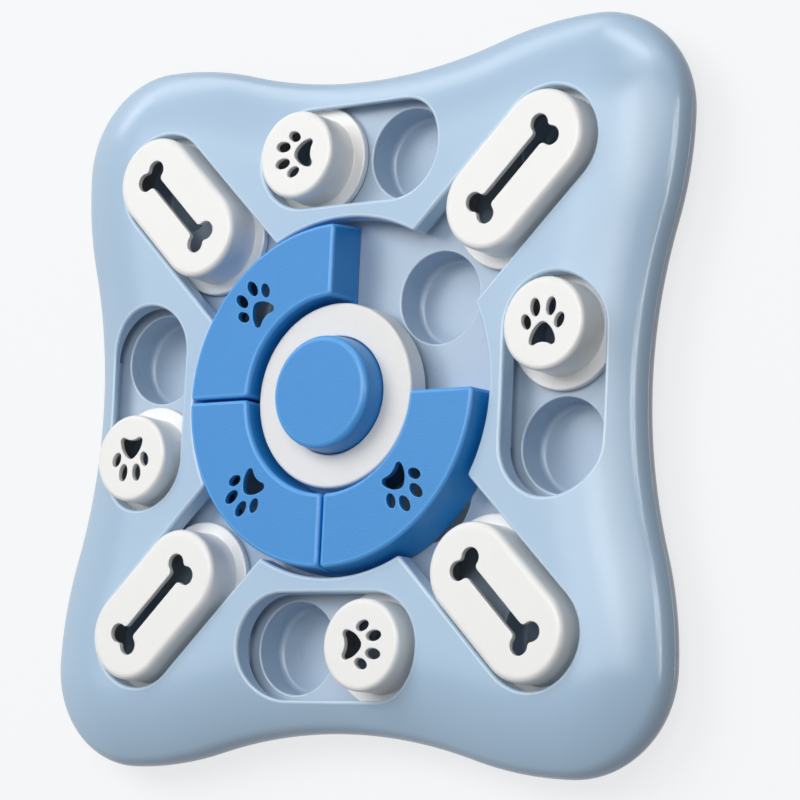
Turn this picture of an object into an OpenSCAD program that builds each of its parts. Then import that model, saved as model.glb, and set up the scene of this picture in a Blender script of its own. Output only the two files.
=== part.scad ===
/* [Button and hub] */
// Radius of the button at the collar
button_r = 21.4; // [20.5:0.1:23]
// How much narrower the button is at its top
button_draft = 0.9; // [0.4:0.1:1.4]
// How far the button stands out of the collar
button_out = 9.2; // [8:0.1:11]
// Rounding of the top edge of the button
button_edge = 2.2; // [1:0.1:3]
// Wall of the button
button_t = 2.2; // [1.6:0.1:3]
// Stroke of the button
button_stroke = 4; // [2:0.5:5]
// Gap left under the flange when the button is pressed
press_gap = 0.4; // [0.3:0.1:1]
// Width of the flange that keeps the button in
flange_w = 2; // [1.5:0.1:2.5]
// Thickness of the flange of the button
flange_t = 2.3; // [1.5:0.1:3]
// Radius of the plunger under the button
plunger_r = 8; // [6:0.5:9]
// Height of the foot of the plunger over the tray
plunger_h = 8; // [6:0.5:10]
// Wall of the tube that carries the collar
tube_t = 4.5; // [4.3:0.1:6]
// How far the collar reaches out over its tube
collar_lip = 5.8; // [5:0.1:7]
// Height of the top of the collar over the tray
collar_h = 13; // [12:0.1:15]
// Wall of the collar
collar_t = 2.4; // [2:0.1:3]
// Rounding of the outer edge of the collar
collar_edge = 0.8; // [0.4:0.1:1.2]

/* [Squeaker] */
// Radius of the cup that holds the squeaker bulb
hub_cup_r = 15; // [14:0.5:17]
// Depth of the cup that holds the squeaker bulb
hub_cup_depth = 12; // [10:0.5:12.5]
// Gap between the bulb and its cup
bulb_play = 2; // [1:0.5:3]
// Wall of the bulb
bulb_t = 1.4; // [1:0.1:2]
// Radius of the reed in the foot of the bulb
reed_r = 4; // [3:0.5:5]
// Height of the reed
reed_h = 6; // [4:0.5:8]
// Radius of the sound hole under the reed
sound_r = 2; // [1:0.5:3]

/* [Ring] */
// Gap between the collar and the ring
collar_play = 2.3; // [1.5:0.1:3]
// Width of the ring at its top
ring_w = 26.7; // [24:0.1:34]
// How far the outer wall of the ring leans out at its foot
ring_flare = 2.3; // [1:0.1:3]
// Height of the top of the ring over the tray
ring_h = 17.4; // [15:0.1:20]
// Wall of a ring segment
ring_t = 2.4; // [1.6:0.1:3]
// Rounding of the top edges of the ring
ring_edge = 1.4; // [0.8:0.1:1.6]
// Distance of each end face from the line between two quarters
ring_split = 0.5; // [0.3:0.05:0.8]
// Thickness of the inner brim under the collar
ring_brim_t = 2.7; // [2:0.1:3]
// Gap between the inner brim and the collar over it
brim_play = 0.6; // [0.3:0.1:1]
// How far the paw cut-out lies inside the middle of the ring's width
ring_paw_in = 0.45; // [0:0.05:2]
// Gap between the foot of the ring and the edge of the cover
ring_gap = 0.75; // [0.5:0.05:1.5]

/* [Wells] */
// Radius of each treat well
well_r = 17; // [15:0.5:18]
// Depth of each treat well
well_depth = 12.6; // [10:0.1:12.6]
// Rounding at the foot of each well
well_round = 2; // [1:0.5:4]
// Wall of the cups under the tray
cup_t = 1.8; // [1.4:0.1:2.2]
// Gap between two cups in one slot, for the rib that runs between them
cup_apart = 2.6; // [2.2:0.1:4]
// Gap between a cup and the base rim
cup_gap = 0.3; // [0.2:0.1:1]
// How far a ring well reaches past the edge of the cover's round opening
ring_well_out = 1.65; // [0:0.05:2]
// How far a corner well lies inside the outer end of its channel
bone_well_in = 0.95; // [0:0.05:2]

/* [Paw sliders] */
// Radius of the cap of a paw slider
knob_r = 16.5; // [15:0.1:18]
// Height of the top of a paw slider over the tray
knob_h = 17.3; // [15:0.1:20]
// Rounding of the top edge of a paw slider
knob_edge = 1.6; // [0.8:0.1:2.4]
// Width of the cover between the round opening and a slot
bridge = 5.35; // [5:0.05:8]

/* [Bone sliders] */
// Radius of the round ends of a bone slider
bone_r = 17.1; // [15:0.1:18]
// Distance from the middle of a bone slider to the centre of its round end
bone_half = 15.35; // [12:0.05:17]
// Height of the top of a bone slider over the tray
bone_h = 17.7; // [15:0.1:20]
// Rounding of the top edge of a bone slider
bone_edge = 2; // [1:0.1:2.6]
// Play of a parked bone slider before the round opening
bone_play = 4.3; // [3:0.1:6]
// Width of the brim that holds a bone slider under the cover
bone_brim_w = 4.3; // [4:0.1:5]

/* [Slider details] */
// Width of the brim that holds a paw slider under the cover
brim_w = 4.9; // [4:0.1:5.5]
// Thickness of a slider brim
brim_t = 2.6; // [2:0.1:3]
// Wall of a slider
slider_t = 2.1; // [1.4:0.1:2.6]
// Gap between a paw cap and the edge of its slot
slot_play = 2.7; // [2:0.1:3]
// Gap between a bone cap and the edge of its channel
channel_play = 2.4; // [2:0.1:3]
// Running clearance between moving pieces
run = 0.3; // [0.2:0.05:0.5]
// Width of the guide ribs that hold the brims
rail_t = 1.6; // [1.2:0.1:2]
// Gap between the guide ribs and the cover over them
rail_gap = 0.25; // [0.2:0.05:0.6]
// Length of the guide ribs at the ends of a slot
rail_stop = 10; // [6:1:16]

/* [Cut-outs] */
// How far the lobes of the bone cut-out lie beyond the centres of the cap's round ends
bone_cut_out = 2.85; // [0:0.05:4]
// Half of the distance between the two lobes at one end
bone_lobe_y = 3.3; // [2.5:0.1:3.4]
// Radius of the lobes of the bone cut-out
bone_lobe_r = 3.5; // [3:0.1:4]
// Width of the bar of the bone cut-out
bone_bar_w = 4.6; // [3:0.1:5]
// Size of the paw cut-out as a share of its full size
paw_size = 1; // [0.8:0.05:1.1]

/* [Board] */
// How far the middle of each side curves in behind the lobes
side_dip = 13.8; // [12.6:0.1:14.2]
// Radius of the hollow curve along each side
side_r = 203; // [180:1:215]
// Least width of the level middle of each lobe
lobe_flat = 3.5; // [2:0.1:6]
// Radius of the lower half of the rim
rim_low_r = 11; // [10:0.5:12]
// Radius of the upper outer curve of the rim
rim_up_r = 8; // [7:0.5:9]
// How much wider than its lower curve the base rim is
rim_flat = 0.5; // [0.3:0.1:3]
// Height of the tray surface over the bottom edge of the board
tray_h = 15; // [14.8:0.1:16]
// Wall of the moulded cover
cover_t = 2.2; // [1.8:0.1:2.4]
// Thickness of the tray plate
plate_t = 2.5; // [2:0.1:3]
// Gap between the base step and the inside of the cover
step_gap = 0.4; // [0.2:0.1:0.6]
// Gap between the brim of a slider and the cover lip over it
lip_play = 1.3; // [1:0.1:2]
// Thickness of the turned-down wall around each opening of the cover
skirt_t = 2.4; // [1.6:0.1:3]
// Width of the ribs under the tray
rib_t = 1.8; // [1.2:0.1:2]
// Height of the ribs under the tray plate
rib_h = 8; // [4:0.5:10]

/* [Fasteners and feet] */
// Radius of the shank of a cover screw
screw_r = 1.5; // [1.2:0.1:1.8]
// Radius of the head of a cover screw
head_r = 2.8; // [2.4:0.1:3]
// Height of a screw head
head_t = 2; // [1.6:0.1:2.4]
// Wall of the screw posts around the screw heads
post_t = 1.4; // [1:0.1:2]
// Height of a screw post under the tray plate
post_h = 9.5; // [8:0.5:11]
// Depth of the hole in a screw post that takes the head
head_hole = 6; // [4:0.5:7]
// Distance of the cover screws from the edge of the board
screw_in = 19.3; // [18:0.1:22]
// Distance of the side screws past the end of the slot beside them
screw_past = 12.7; // [10:0.1:15]
// Cover left over the tip of a screw, apart from its wall
screw_tip = 0.7; // [0.4:0.1:2]
// Radius of the shank of a hub screw
hub_screw_r = 1.1; // [0.9:0.1:1.3]
// How far a hub screw reaches past the shoulder in the tube
hub_screw_in = 1; // [0:0.1:3]
// How much wider the head of a hub screw is than its shank
hub_head_w = 1.3; // [1:0.1:1.6]
// Radius of the foot pads
foot_r = 10; // [7:0.5:12]
// How far the foot pads stand out under the board
foot_out = 2; // [1.5:0.1:3]
// Rounding of the edge of a foot pad
foot_edge = 1; // [0.5:0.1:1.2]

/* [Hidden] */
$fn = 96;
eps = 0.01;
// Clearances: of a screw in a through hole, of a shank in its boss, and of a rib from a cup
screw_gap = 0.2;
thread_gap = 0.02;
seat_gap = 0.1;

// The lobes and the hollow sides meet along rays that lean by a 7-24-25 triangle,
// and the rim curve meets the crown curve along a 336-527-625 one.
flare_cos = 0.96;
flare_sin = 0.28;
flare = atan2(flare_sin, flare_cos);
crown_cos = 0.5376;
crown_sin = 0.8432;

// Hub, from the button outwards
counter_r = button_r + flange_w + run;
tube_r = counter_r + tube_t;
collar_r = tube_r + collar_lip;
ring_in = collar_r + collar_play;
ring_r = ring_in + ring_w;
opening_r = ring_r + ring_flare + ring_gap;
stop_h = run + flange_t + button_stroke + press_gap;
collar_gap = run + ring_brim_t + brim_play;
button_h = collar_h + button_out;
bulb_r = hub_cup_r - bulb_play;
hub_screw_at = (counter_r + tube_r) / 2;

// Sliders, from the ring outwards
slot_r = knob_r + slot_play;
slot_at = opening_r + bridge + slot_r;
knob_park = well_r + cup_t + cup_apart / 2;
brim_r = knob_r + brim_w;
rail_in = brim_r + run;
channel_r = bone_r + channel_play;
bone_brim_r = bone_r + bone_brim_w;
bone_at = opening_r + bone_play + bone_brim_r + bone_half;
channel_end = bone_at + bone_half;
bone_rail_in = bone_brim_r + run;
bone_cut_l = 2 * (bone_half + bone_cut_out);
ring_well_at = opening_r + ring_well_out - well_r;
bone_well_at = channel_end - bone_well_in;
ring_paw_at = (ring_in + ring_r) / 2 - ring_paw_in;

// Outline: a lobe arc, a flatter shoulder arc and a hollow side arc, all tangent
rim_wall = rim_low_r + rim_flat;
side_in = slot_at + well_r + cup_t + cup_gap + rim_wall;
board_half = side_in + side_dip;
arc_span = side_dip / (1 - flare_cos);
shoulder_r = arc_span - side_r;
lobe_at = flare_sin * arc_span;
lobe_r = board_half - lobe_at;
shoulder_x = board_half - shoulder_r;
side_x = side_in + side_r;
// Longer than any radius of the outline, in a round number that keeps the seams exact
far = 100 * ceil(side_x / 50);
// Taller than the board
tall = board_half;

// Heights over the floor
rim_z = foot_out + rim_low_r;
tray_z = foot_out + tray_h;
lip_z = tray_z + run + brim_t + lip_play;
crown_reach = floor(2 * (lobe_r - lobe_flat - rim_up_r) / crown_cos) / 2;
crown_in = rim_up_r + crown_cos * crown_reach;
crown_r = crown_reach + rim_up_r;
crown_h = crown_r - crown_sin * crown_reach;
crown_z = rim_z + crown_h;
plate_z = tray_z - plate_t;
seat_in = cover_t + step_gap;
cup_z = tray_z - well_depth - cup_t;
hub_floor_z = tray_z - hub_cup_depth;
bulb_top_z = tray_z + plunger_h - run;

// Height of the inside of the cover at a distance from the edge of the board
function crown_under(d) =
  rim_z + crown_h - crown_r + sqrt(pow(crown_r - cover_t, 2) - pow(max(crown_in - d, 0), 2));

// Insets between which the rim pieces and the middle of the board overlap
deep = lobe_r;
fill_in = crown_in + 0.65 * (deep - crown_in);
fill_corner = lobe_at + 0.2 * (deep - crown_in);
// How far the pieces of a section, and those of the rim, run into each other
seam = 2;
seam_angle = 2;

// The outer guide ribs lie nearest to the edge, where the cover is lowest
rail_h = crown_under(side_in - slot_at - rail_in - rail_t) - tray_z - rail_gap;

// Screw places: past each end of each slot and behind the outer end of each channel
screw_x = knob_park + slot_r + screw_past;
screw_y = side_x - sqrt(pow(side_r + screw_in, 2) - pow(screw_x, 2));
lobe_screw_at = lobe_at + (lobe_r - screw_in) / sqrt(2);
post_r = head_r + run + post_t;
post_z = plate_z - post_h;
ledge_z = post_z + head_hole;
screw_top_z = crown_under(screw_in) - screw_tip;
hub_screw_top_z = tray_z + stop_h + hub_screw_in;
foot_at = bone_well_at / sqrt(2);

BOARD = "#b9cce4";
TRAY = "#a9bdd8";
WHITE = "#f4f4f2";
BLUE = "#4f93da";
STEEL = "#9a9da2";
RUBBER = "#5d6672";

function turned(p, a) = [p[0] * cos(a) - p[1] * sin(a), p[0] * sin(a) + p[1] * cos(a)];
function side_points(d) = [
  for (a = [flare / 2, flare]) [shoulder_x + (shoulder_r - d) * cos(a), -lobe_at + (shoulder_r - d) * sin(a)],
  for (a = [-flare / 2, 0, flare / 2]) [side_x - (side_r + d) * cos(a), (side_r + d) * sin(a)],
  for (a = [-flare, -flare / 2]) [shoulder_x + (shoulder_r - d) * cos(a), lobe_at + (shoulder_r - d) * sin(a)],
  [fill_corner, fill_corner]
];

// ---------- shared shapes ----------

module quarters() {
  for (q = [0:3]) rotate(90 * q) children();
}

module both_sides() {
  children();
  mirror([1, -1, 0]) children();
}

module stadium(half, r) {
  square([2 * half, 2 * r], center = true);
  for (s = [-1, 1]) translate([s * half, 0]) circle(r);
}

// Round cap section against the axis: radius r from z0 to z1 with a rounded top edge
module cap_section(r, z0, z1, e) {
  translate([0, z0]) square([r, z1 - e - z0]);
  translate([0, z0]) square([r - e, z1 - z0]);
  translate([r - e, z1 - e]) circle(e);
}

module full_section(r, z0, z1, e) {
  cap_section(r, z0, z1, e);
  mirror([1, 0]) cap_section(r, z0, z1, e);
}

// Long cap with round ends and a rounded top edge
module long_cap(half, r, z0, z1, e) {
  rotate([90, 0, 90]) linear_extrude(2 * half, center = true) full_section(r, z0, z1, e);
  for (s = [0, 180]) rotate(s) translate([half, 0, 0])
    rotate_extrude(angle = 180, start = -90) cap_section(r, z0, z1, e);
}

module screw(r, z0, z1, head, t) {
  difference() {
    union() {
      translate([0, 0, z0]) cylinder(h = z1 - z0, r = r);
      translate([0, 0, z0 - t]) cylinder(h = t, r = head);
    }
    for (a = [0, 90]) rotate(a) translate([-head * 0.6, -0.35, z0 - t - eps]) cube([head * 1.2, 0.7, t * 0.6]);
  }
}

module screw_places() {
  quarters() both_sides() translate([screw_x, screw_y, 0]) children();
  quarters() translate([lobe_screw_at, lobe_screw_at, 0]) children();
}

// ---------- board outline ----------

// Runs a rim section around the whole outline. The section lies at x = -inset.
// children(0) is used on the lobes, children(1) on the shoulders and sides.
module around_board() {
  quarters() {
    translate([lobe_at, lobe_at, 0]) rotate_extrude(angle = 90) translate([lobe_r, 0]) children(0);
    both_sides() translate([shoulder_x, lobe_at, 0]) intersection() {
      rotate_extrude(angle = flare + seam_angle, start = -flare - seam_angle)
        translate([shoulder_r, 0]) children(1);
      linear_extrude(tall, center = true)
        polygon([[0, 0], [far * flare_cos, -far * flare_sin], [far * flare_cos, 0]]);
    }
    translate([side_x, 0, 0]) intersection() {
      rotate_extrude(angle = 2 * (flare + seam_angle), start = 180 - flare - seam_angle)
        translate([side_r, 0]) mirror([1, 0]) children(1);
      linear_extrude(tall, center = true)
        polygon([[0, 0], [-far * flare_cos, -far * flare_sin], [-far * flare_cos, far * flare_sin]]);
    }
  }
}

// Middle of the board, between the rim pieces
module middle(z0, z1) {
  translate([0, 0, z0]) linear_extrude(z1 - z0)
    polygon([for (q = [0:3]) each [for (p = side_points(fill_in)) turned(p, 90 * q)]]);
}

// Crown section over the parting line, with every surface moved in by t
module crown_section(t, reach, below) {
  join_x = -rim_up_r + (rim_up_r - t) * crown_cos;
  intersection() {
    translate([-rim_up_r, 0]) circle(rim_up_r - t);
    translate([-rim_up_r, 0]) square(rim_up_r);
  }
  intersection() {
    translate([-crown_in, crown_h - crown_r]) circle(crown_r - t);
    translate([-crown_in - seam, 0]) square([crown_in + seam + join_x, crown_h + 1]);
  }
  translate([-reach, 0]) square([reach - crown_in, crown_h - t]);
  if (below > 0) translate([-reach, -below]) square([reach - t, below]);
}

module crown_solid(t, below) {
  translate([0, 0, rim_z]) around_board() {
    crown_section(t, deep, below);
    crown_section(t, deep + seam, below);
  }
  middle(rim_z - below, crown_z - t);
}

// Base section under the parting line, with the step that carries the tray
module base_section(reach) {
  intersection() {
    translate([-rim_low_r, 0]) circle(rim_low_r);
    translate([-rim_low_r - seam, -rim_low_r]) square([rim_low_r + seam, rim_low_r]);
  }
  translate([-reach, -rim_low_r]) square([reach - rim_low_r, rim_low_r]);
  intersection() {
    crown_section(seat_in, reach, 0);
    translate([-reach, 0]) square([reach, tray_z - rim_z]);
  }
}

module base_solid() {
  translate([0, 0, rim_z]) around_board() {
    base_section(deep);
    base_section(deep + seam);
  }
  middle(foot_out, tray_z);
}

module plain_section(inset, reach, h) {
  translate([-reach, 0]) square([reach - inset, h]);
}

module inset_solid(inset, z0, z1) {
  translate([0, 0, z0]) around_board() {
    plain_section(inset, deep, z1 - z0);
    plain_section(inset, deep + seam, z1 - z0);
  }
  middle(z0, z1);
}

// ---------- places ----------

// The hub screws stand between the ribs under the tray
module at_hub_screws() {
  quarters() rotate(22.5) translate([hub_screw_at, 0, 0]) children();
}

module at_slots() {
  quarters() translate([slot_at, 0, 0]) rotate(90) children();
}

module at_channels() {
  quarters() rotate(45) children();
}

// The channel of a bone slider, from the middle of the board, with round ends of radius r
module channel(r) {
  translate([channel_end / 2, 0]) stadium(channel_end / 2, r);
}

// Openings of the cover, grown by g
module openings(g) {
  circle(opening_r + g);
  at_channels() channel(channel_r + g);
}

module slot_openings(g) {
  at_slots() stadium(knob_park, slot_r + g);
}

module well_cut(r, depth, e) {
  translate([0, 0, tray_z]) rotate_extrude() {
    translate([0, -depth + e]) square([r, depth - e + 1]);
    translate([0, -depth]) square([r - e, e + eps]);
    translate([r - e, -depth + e]) circle(e);
  }
}

module at_slot_wells() {
  at_slots() for (s = [-1, 1]) translate([s * knob_park, 0, 0]) children();
}

module at_channel_wells() {
  at_channels() for (x = [ring_well_at, bone_well_at]) translate([x, 0, 0]) children();
}

// ---------- board ----------

module top_cover() {
  color(BOARD) difference() {
    crown_solid(0, 0);
    difference() {
      crown_solid(cover_t, 1);
      translate([0, 0, lip_z]) linear_extrude(tall) openings(skirt_t);
      translate([0, 0, lip_z]) linear_extrude(tall) slot_openings(skirt_t);
      screw_places() translate([0, 0, tray_z]) cylinder(h = tall, r = screw_r + skirt_t);
    }
    translate([0, 0, rim_z - 1]) linear_extrude(tall) openings(0);
    translate([0, 0, rim_z - 1]) linear_extrude(tall) slot_openings(0);
    screw_places() translate([0, 0, tray_z - 1])
      cylinder(h = screw_top_z + run - tray_z + 1, r = screw_r + thread_gap);
  }
}

module base_rim() {
  color(BOARD) difference() {
    base_solid();
    inset_solid(rim_wall, foot_out - 1, tray_z + 1);
  }
}

module tray_plate() {
  color(TRAY) difference() {
    inset_solid(rim_wall, plate_z, tray_z);
    translate([0, 0, plate_z - 1]) {
      at_slot_wells() cylinder(h = plate_t + 2, r = well_r + cup_t);
      at_channel_wells() cylinder(h = plate_t + 2, r = well_r + cup_t);
      cylinder(h = plate_t + 2, r = hub_cup_r + cup_t);
      screw_places() cylinder(h = plate_t + 2, r = screw_r + screw_gap);
      at_hub_screws() cylinder(h = plate_t + 2, r = hub_screw_r + screw_gap);
    }
  }
}

module cup(r, depth, e) {
  difference() {
    translate([0, 0, tray_z - depth - cup_t]) cylinder(h = depth + cup_t, r = r + cup_t);
    well_cut(r, depth, e);
  }
}

module treat_well() {
  color(TRAY) cup(well_r, well_depth, well_round);
}

module bulb_cup() {
  color(TRAY) difference() {
    cup(hub_cup_r, hub_cup_depth, well_round / 2);
    translate([0, 0, hub_floor_z - cup_t - 1]) cylinder(h = cup_t + 2, r = sound_r);
  }
}

// A straight rib under the tray plate, along X from x0 to x1
module tray_rib(x0, x1) {
  translate([x0 + seat_gap, -rib_t / 2, plate_z - rib_h]) cube([x1 - x0 - 2 * seat_gap, rib_t, rib_h]);
}

module tray_ribs() {
  cup_r = well_r + cup_t;
  hub_r = hub_cup_r + cup_t;
  post_at = lobe_screw_at * sqrt(2);
  color(TRAY) quarters() {
    tray_rib(hub_r, side_in - rim_wall);
    rotate(45) {
      tray_rib(hub_r, ring_well_at - cup_r);
      tray_rib(ring_well_at + cup_r, bone_well_at - cup_r);
      tray_rib(bone_well_at + cup_r, post_at - post_r);
      tray_rib(post_at + post_r, lobe_at * sqrt(2) + lobe_r - rim_wall);
    }
  }
}

module screw_posts() {
  color(TRAY) screw_places() difference() {
    translate([0, 0, post_z]) cylinder(h = post_h, r = post_r);
    translate([0, 0, post_z - 1]) cylinder(h = head_hole + 1, r = head_r + run);
    translate([0, 0, post_z]) cylinder(h = post_h + 1, r = screw_r + screw_gap);
  }
}

// A straight guide rib on the tray, along X from x0 to x1, its inner face at y
module guide_rib(x0, x1, y) {
  translate([x0, y, tray_z]) cube([x1 - x0, rail_t, rail_h]);
}

// A short rib across the end of a slot, its inner face at x
module end_rib(x) {
  translate([x, -rail_stop / 2, tray_z]) cube([rail_t, rail_stop, rail_h]);
}

module guide_ribs() {
  channel_start = sqrt(pow(opening_r + rail_t, 2) - pow(bone_rail_in, 2));
  color(TRAY) {
    at_slots() for (a = [0, 180]) rotate(a) {
      guide_rib(-knob_park, knob_park, rail_in);
      end_rib(knob_park + rail_in);
    }
    at_channels() {
      for (m = [0, 1]) mirror([0, m, 0]) guide_rib(channel_start, channel_end, bone_rail_in);
      end_rib(channel_end + bone_rail_in);
    }
  }
}

// ---------- cut-outs ----------

module bone_cut() {
  square([bone_cut_l, bone_bar_w], center = true);
  for (x = [-1, 1]) for (y = [-1, 1])
    translate([x * bone_cut_l / 2, y * bone_lobe_y]) circle(bone_lobe_r);
}

module oval(a, b) {
  polygon([for (t = [0:15:345]) [a * cos(t), b * sin(t)]]);
}

// Paw print with its toes along +X
module paw_cut() {
  scale(paw_size) {
    for (s = [-1, 1]) {
      translate([5.5, 3.2 * s]) rotate(6 * s) oval(3.2, 2);
      translate([0.7, 6.7 * s]) rotate(22 * s) oval(2.7, 1.9);
    }
    difference() {
      hull() {
        translate([-2.4, 0]) circle(2.6, $fn = 32);
        for (s = [-1, 1]) translate([-6.3, 3.8 * s]) circle(1.5, $fn = 32);
      }
      translate([-11.2, 0]) circle(4.2, $fn = 48);
    }
  }
}

// ---------- sliders ----------

module bone_slider() {
  z0 = tray_z + run;
  color(WHITE) difference() {
    union() {
      long_cap(bone_half, bone_r, z0, tray_z + bone_h, bone_edge);
      translate([0, 0, z0]) linear_extrude(brim_t) stadium(bone_half, bone_brim_r);
    }
    long_cap(bone_half, bone_r - slider_t, z0 - 1, tray_z + bone_h - slider_t, bone_edge / 2);
    translate([0, 0, z0]) linear_extrude(bone_h + 1) bone_cut();
  }
}

module paw_slider() {
  z0 = tray_z + run;
  color(WHITE) difference() {
    union() {
      rotate_extrude() cap_section(knob_r, z0, tray_z + knob_h, knob_edge);
      translate([0, 0, z0]) cylinder(h = brim_t, r = brim_r);
    }
    rotate_extrude() cap_section(knob_r - slider_t, z0 - 1, tray_z + knob_h - slider_t, knob_edge / 2);
    translate([0, 0, z0]) linear_extrude(knob_h + 1) paw_cut();
  }
}

module bone_place(a) {
  rotate(a) translate([bone_at, 0, 0]) bone_slider();
}

// The toes of each paw point to the end of the slot at which the slider is parked
module paw_place(a) {
  rotate(a) translate([slot_at, knob_park, 0]) rotate(90) paw_slider();
}

// ---------- ring ----------

module segment_section(t) {
  foot = t > 0 ? -1 : run;
  top = ring_h - t;
  lean = ring_flare * (top - ring_edge - foot) / ring_h;
  polygon([
    [ring_in + t, foot], [ring_r - t + lean, foot],
    [ring_r - t, top - ring_edge], [ring_r - t - ring_edge, top],
    [ring_in + t + ring_edge, top], [ring_in + t, top - ring_edge]
  ]);
  translate([ring_r - t - ring_edge, top - ring_edge]) circle(ring_edge);
  translate([ring_in + t + ring_edge, top - ring_edge]) circle(ring_edge);
}

module segment_quarter(t, split) {
  intersection() {
    rotate_extrude(angle = 90) segment_section(t);
    translate([split, split, -1]) cube(ring_r + ring_flare);
  }
}

// One quarter of the ring, drawn in the first quadrant
module ring_segment() {
  color(BLUE) translate([0, 0, tray_z]) difference() {
    union() {
      segment_quarter(0, ring_split);
      intersection() {
        rotate_extrude(angle = 90) translate([tube_r + run, run]) square([ring_in + 1 - tube_r - run, ring_brim_t]);
        translate([ring_split, ring_split, 0]) cube(ring_in + 1);
      }
    }
    segment_quarter(ring_t, ring_split + ring_t);
    rotate(45) translate([ring_paw_at, 0, ring_h - ring_t - 1]) linear_extrude(ring_t + 2) paw_cut();
  }
}

// ---------- hub ----------

module hub_collar() {
  bore = button_r + run;
  color(WHITE) difference() {
    translate([0, 0, tray_z]) rotate_extrude() {
      translate([bore, collar_h - collar_t]) square([collar_r - collar_edge - bore, collar_t]);
      translate([collar_r - collar_t, collar_gap]) square([collar_t, collar_h - collar_edge - collar_gap]);
      translate([collar_r - collar_edge, collar_h - collar_edge]) circle(collar_edge);
      translate([counter_r, 0]) square([tube_t, collar_h - collar_t + eps]);
      translate([bore, stop_h]) square([tube_r - bore, collar_h - stop_h - collar_t / 2]);
    }
    at_hub_screws() translate([0, 0, tray_z - 1])
      cylinder(h = hub_screw_top_z + run - tray_z + 1, r = hub_screw_r + thread_gap);
  }
}

module squeaker_button() {
  flange_top = stop_h - run;
  straight = collar_h + button_draft / 2;
  color(BLUE) translate([0, 0, tray_z]) difference() {
    rotate_extrude() {
      translate([0, flange_top - flange_t]) square([button_r + flange_w, flange_t]);
      translate([0, flange_top - flange_t]) square([button_r, straight - flange_top + flange_t]);
      polygon([
        [0, straight], [button_r, straight],
        [button_r - button_draft, button_h - button_edge],
        [button_r - button_draft - button_edge, button_h], [0, button_h]
      ]);
      translate([button_r - button_draft - button_edge, button_h - button_edge]) circle(button_edge);
    }
    rotate_extrude() difference() {
      cap_section(button_r - button_draft - button_t, 0, button_h - button_t, 1);
      translate([0, plunger_h]) square([plunger_r, button_h]);
    }
  }
}

// Bellows of three folds with an open foot for the reed
module bulb_section(t) {
  folds = 3;
  h = bulb_top_z - hub_floor_z;
  step = (h - 4) / folds;
  waist = bulb_r - 2.6;
  polygon([
    [0, t], [bulb_r - t, t], [bulb_r - t, 2 - t / 2],
    for (i = [0:folds - 1]) each [
      [waist - t, 2 + i * step],
      [bulb_r - t, 2 + (i + 0.5) * step],
      [waist - t, 2 + (i + 1) * step]
    ],
    [waist - t, h - 2 - t / 2], [waist - 1.5 - t, h - t], [0, h - t]
  ]);
}

module squeaker_bulb() {
  color(RUBBER) translate([0, 0, hub_floor_z]) difference() {
    rotate_extrude() bulb_section(0);
    rotate_extrude() bulb_section(bulb_t);
    translate([0, 0, -1]) cylinder(h = bulb_t + 2, r = reed_r);
  }
}

module squeaker_reed() {
  color(WHITE) translate([0, 0, hub_floor_z]) difference() {
    cylinder(h = reed_h, r = reed_r);
    translate([0, 0, -1]) cylinder(h = reed_h - 1, r = reed_r - 1);
    translate([-reed_r + 1, -0.4, reed_h - 3]) cube([2 * reed_r - 2, 0.8, 4]);
  }
}

// ---------- fasteners and feet ----------

module hub_screws() {
  color(STEEL) at_hub_screws()
    screw(hub_screw_r, plate_z, hub_screw_top_z, hub_screw_r + hub_head_w, head_t);
}

module cover_screws() {
  color(STEEL) screw_places() screw(screw_r, ledge_z, screw_top_z, head_r, head_t);
}

module foot(a) {
  color(RUBBER) rotate(a) translate([foot_at, foot_at, cup_z]) mirror([0, 0, 1])
    rotate_extrude() cap_section(foot_r, 0, cup_z, foot_edge);
}

top_cover();
base_rim();
tray_plate();
at_slot_wells() treat_well();  // slot_wells
at_channel_wells() treat_well();  // channel_wells
bulb_cup();
guide_ribs();
tray_ribs();
screw_posts();
bone_place(45);  // bone_slider_ne
bone_place(135);  // bone_slider_nw
bone_place(225);  // bone_slider_sw
bone_place(315);  // bone_slider_se
paw_place(90);  // paw_slider_n
paw_place(0);  // paw_slider_e
paw_place(270);  // paw_slider_s
paw_place(180);  // paw_slider_w
rotate(90) ring_segment();  // ring_segment_nw
rotate(180) ring_segment();  // ring_segment_sw
rotate(270) ring_segment();  // ring_segment_se
hub_collar();
squeaker_button();
squeaker_bulb();
squeaker_reed();
hub_screws();
cover_screws();
foot(0);  // foot_ne
foot(90);  // foot_nw
foot(180);  // foot_sw
foot(270);  // foot_se
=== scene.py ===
# %% [markdown]
# # A dog's treat puzzle
# A four-lobed board of pale blue plastic holds round treat wells. White caps with paw and bone
# cut-outs slide over them, three blue quarter covers turn round a hub, and a squeaker button
# stands in the middle. The CAD frame gives every size and place. Each cell below rebuilds one
# piece with the soft edges, wall thickness and finish of the moulded part.

# %% Load the CAD frame
import math

import bmesh
import bpy
import numpy as np
from mathutils import Matrix, Quaternion, Vector
from mathutils.geometry import delaunay_2d_cdt


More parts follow.
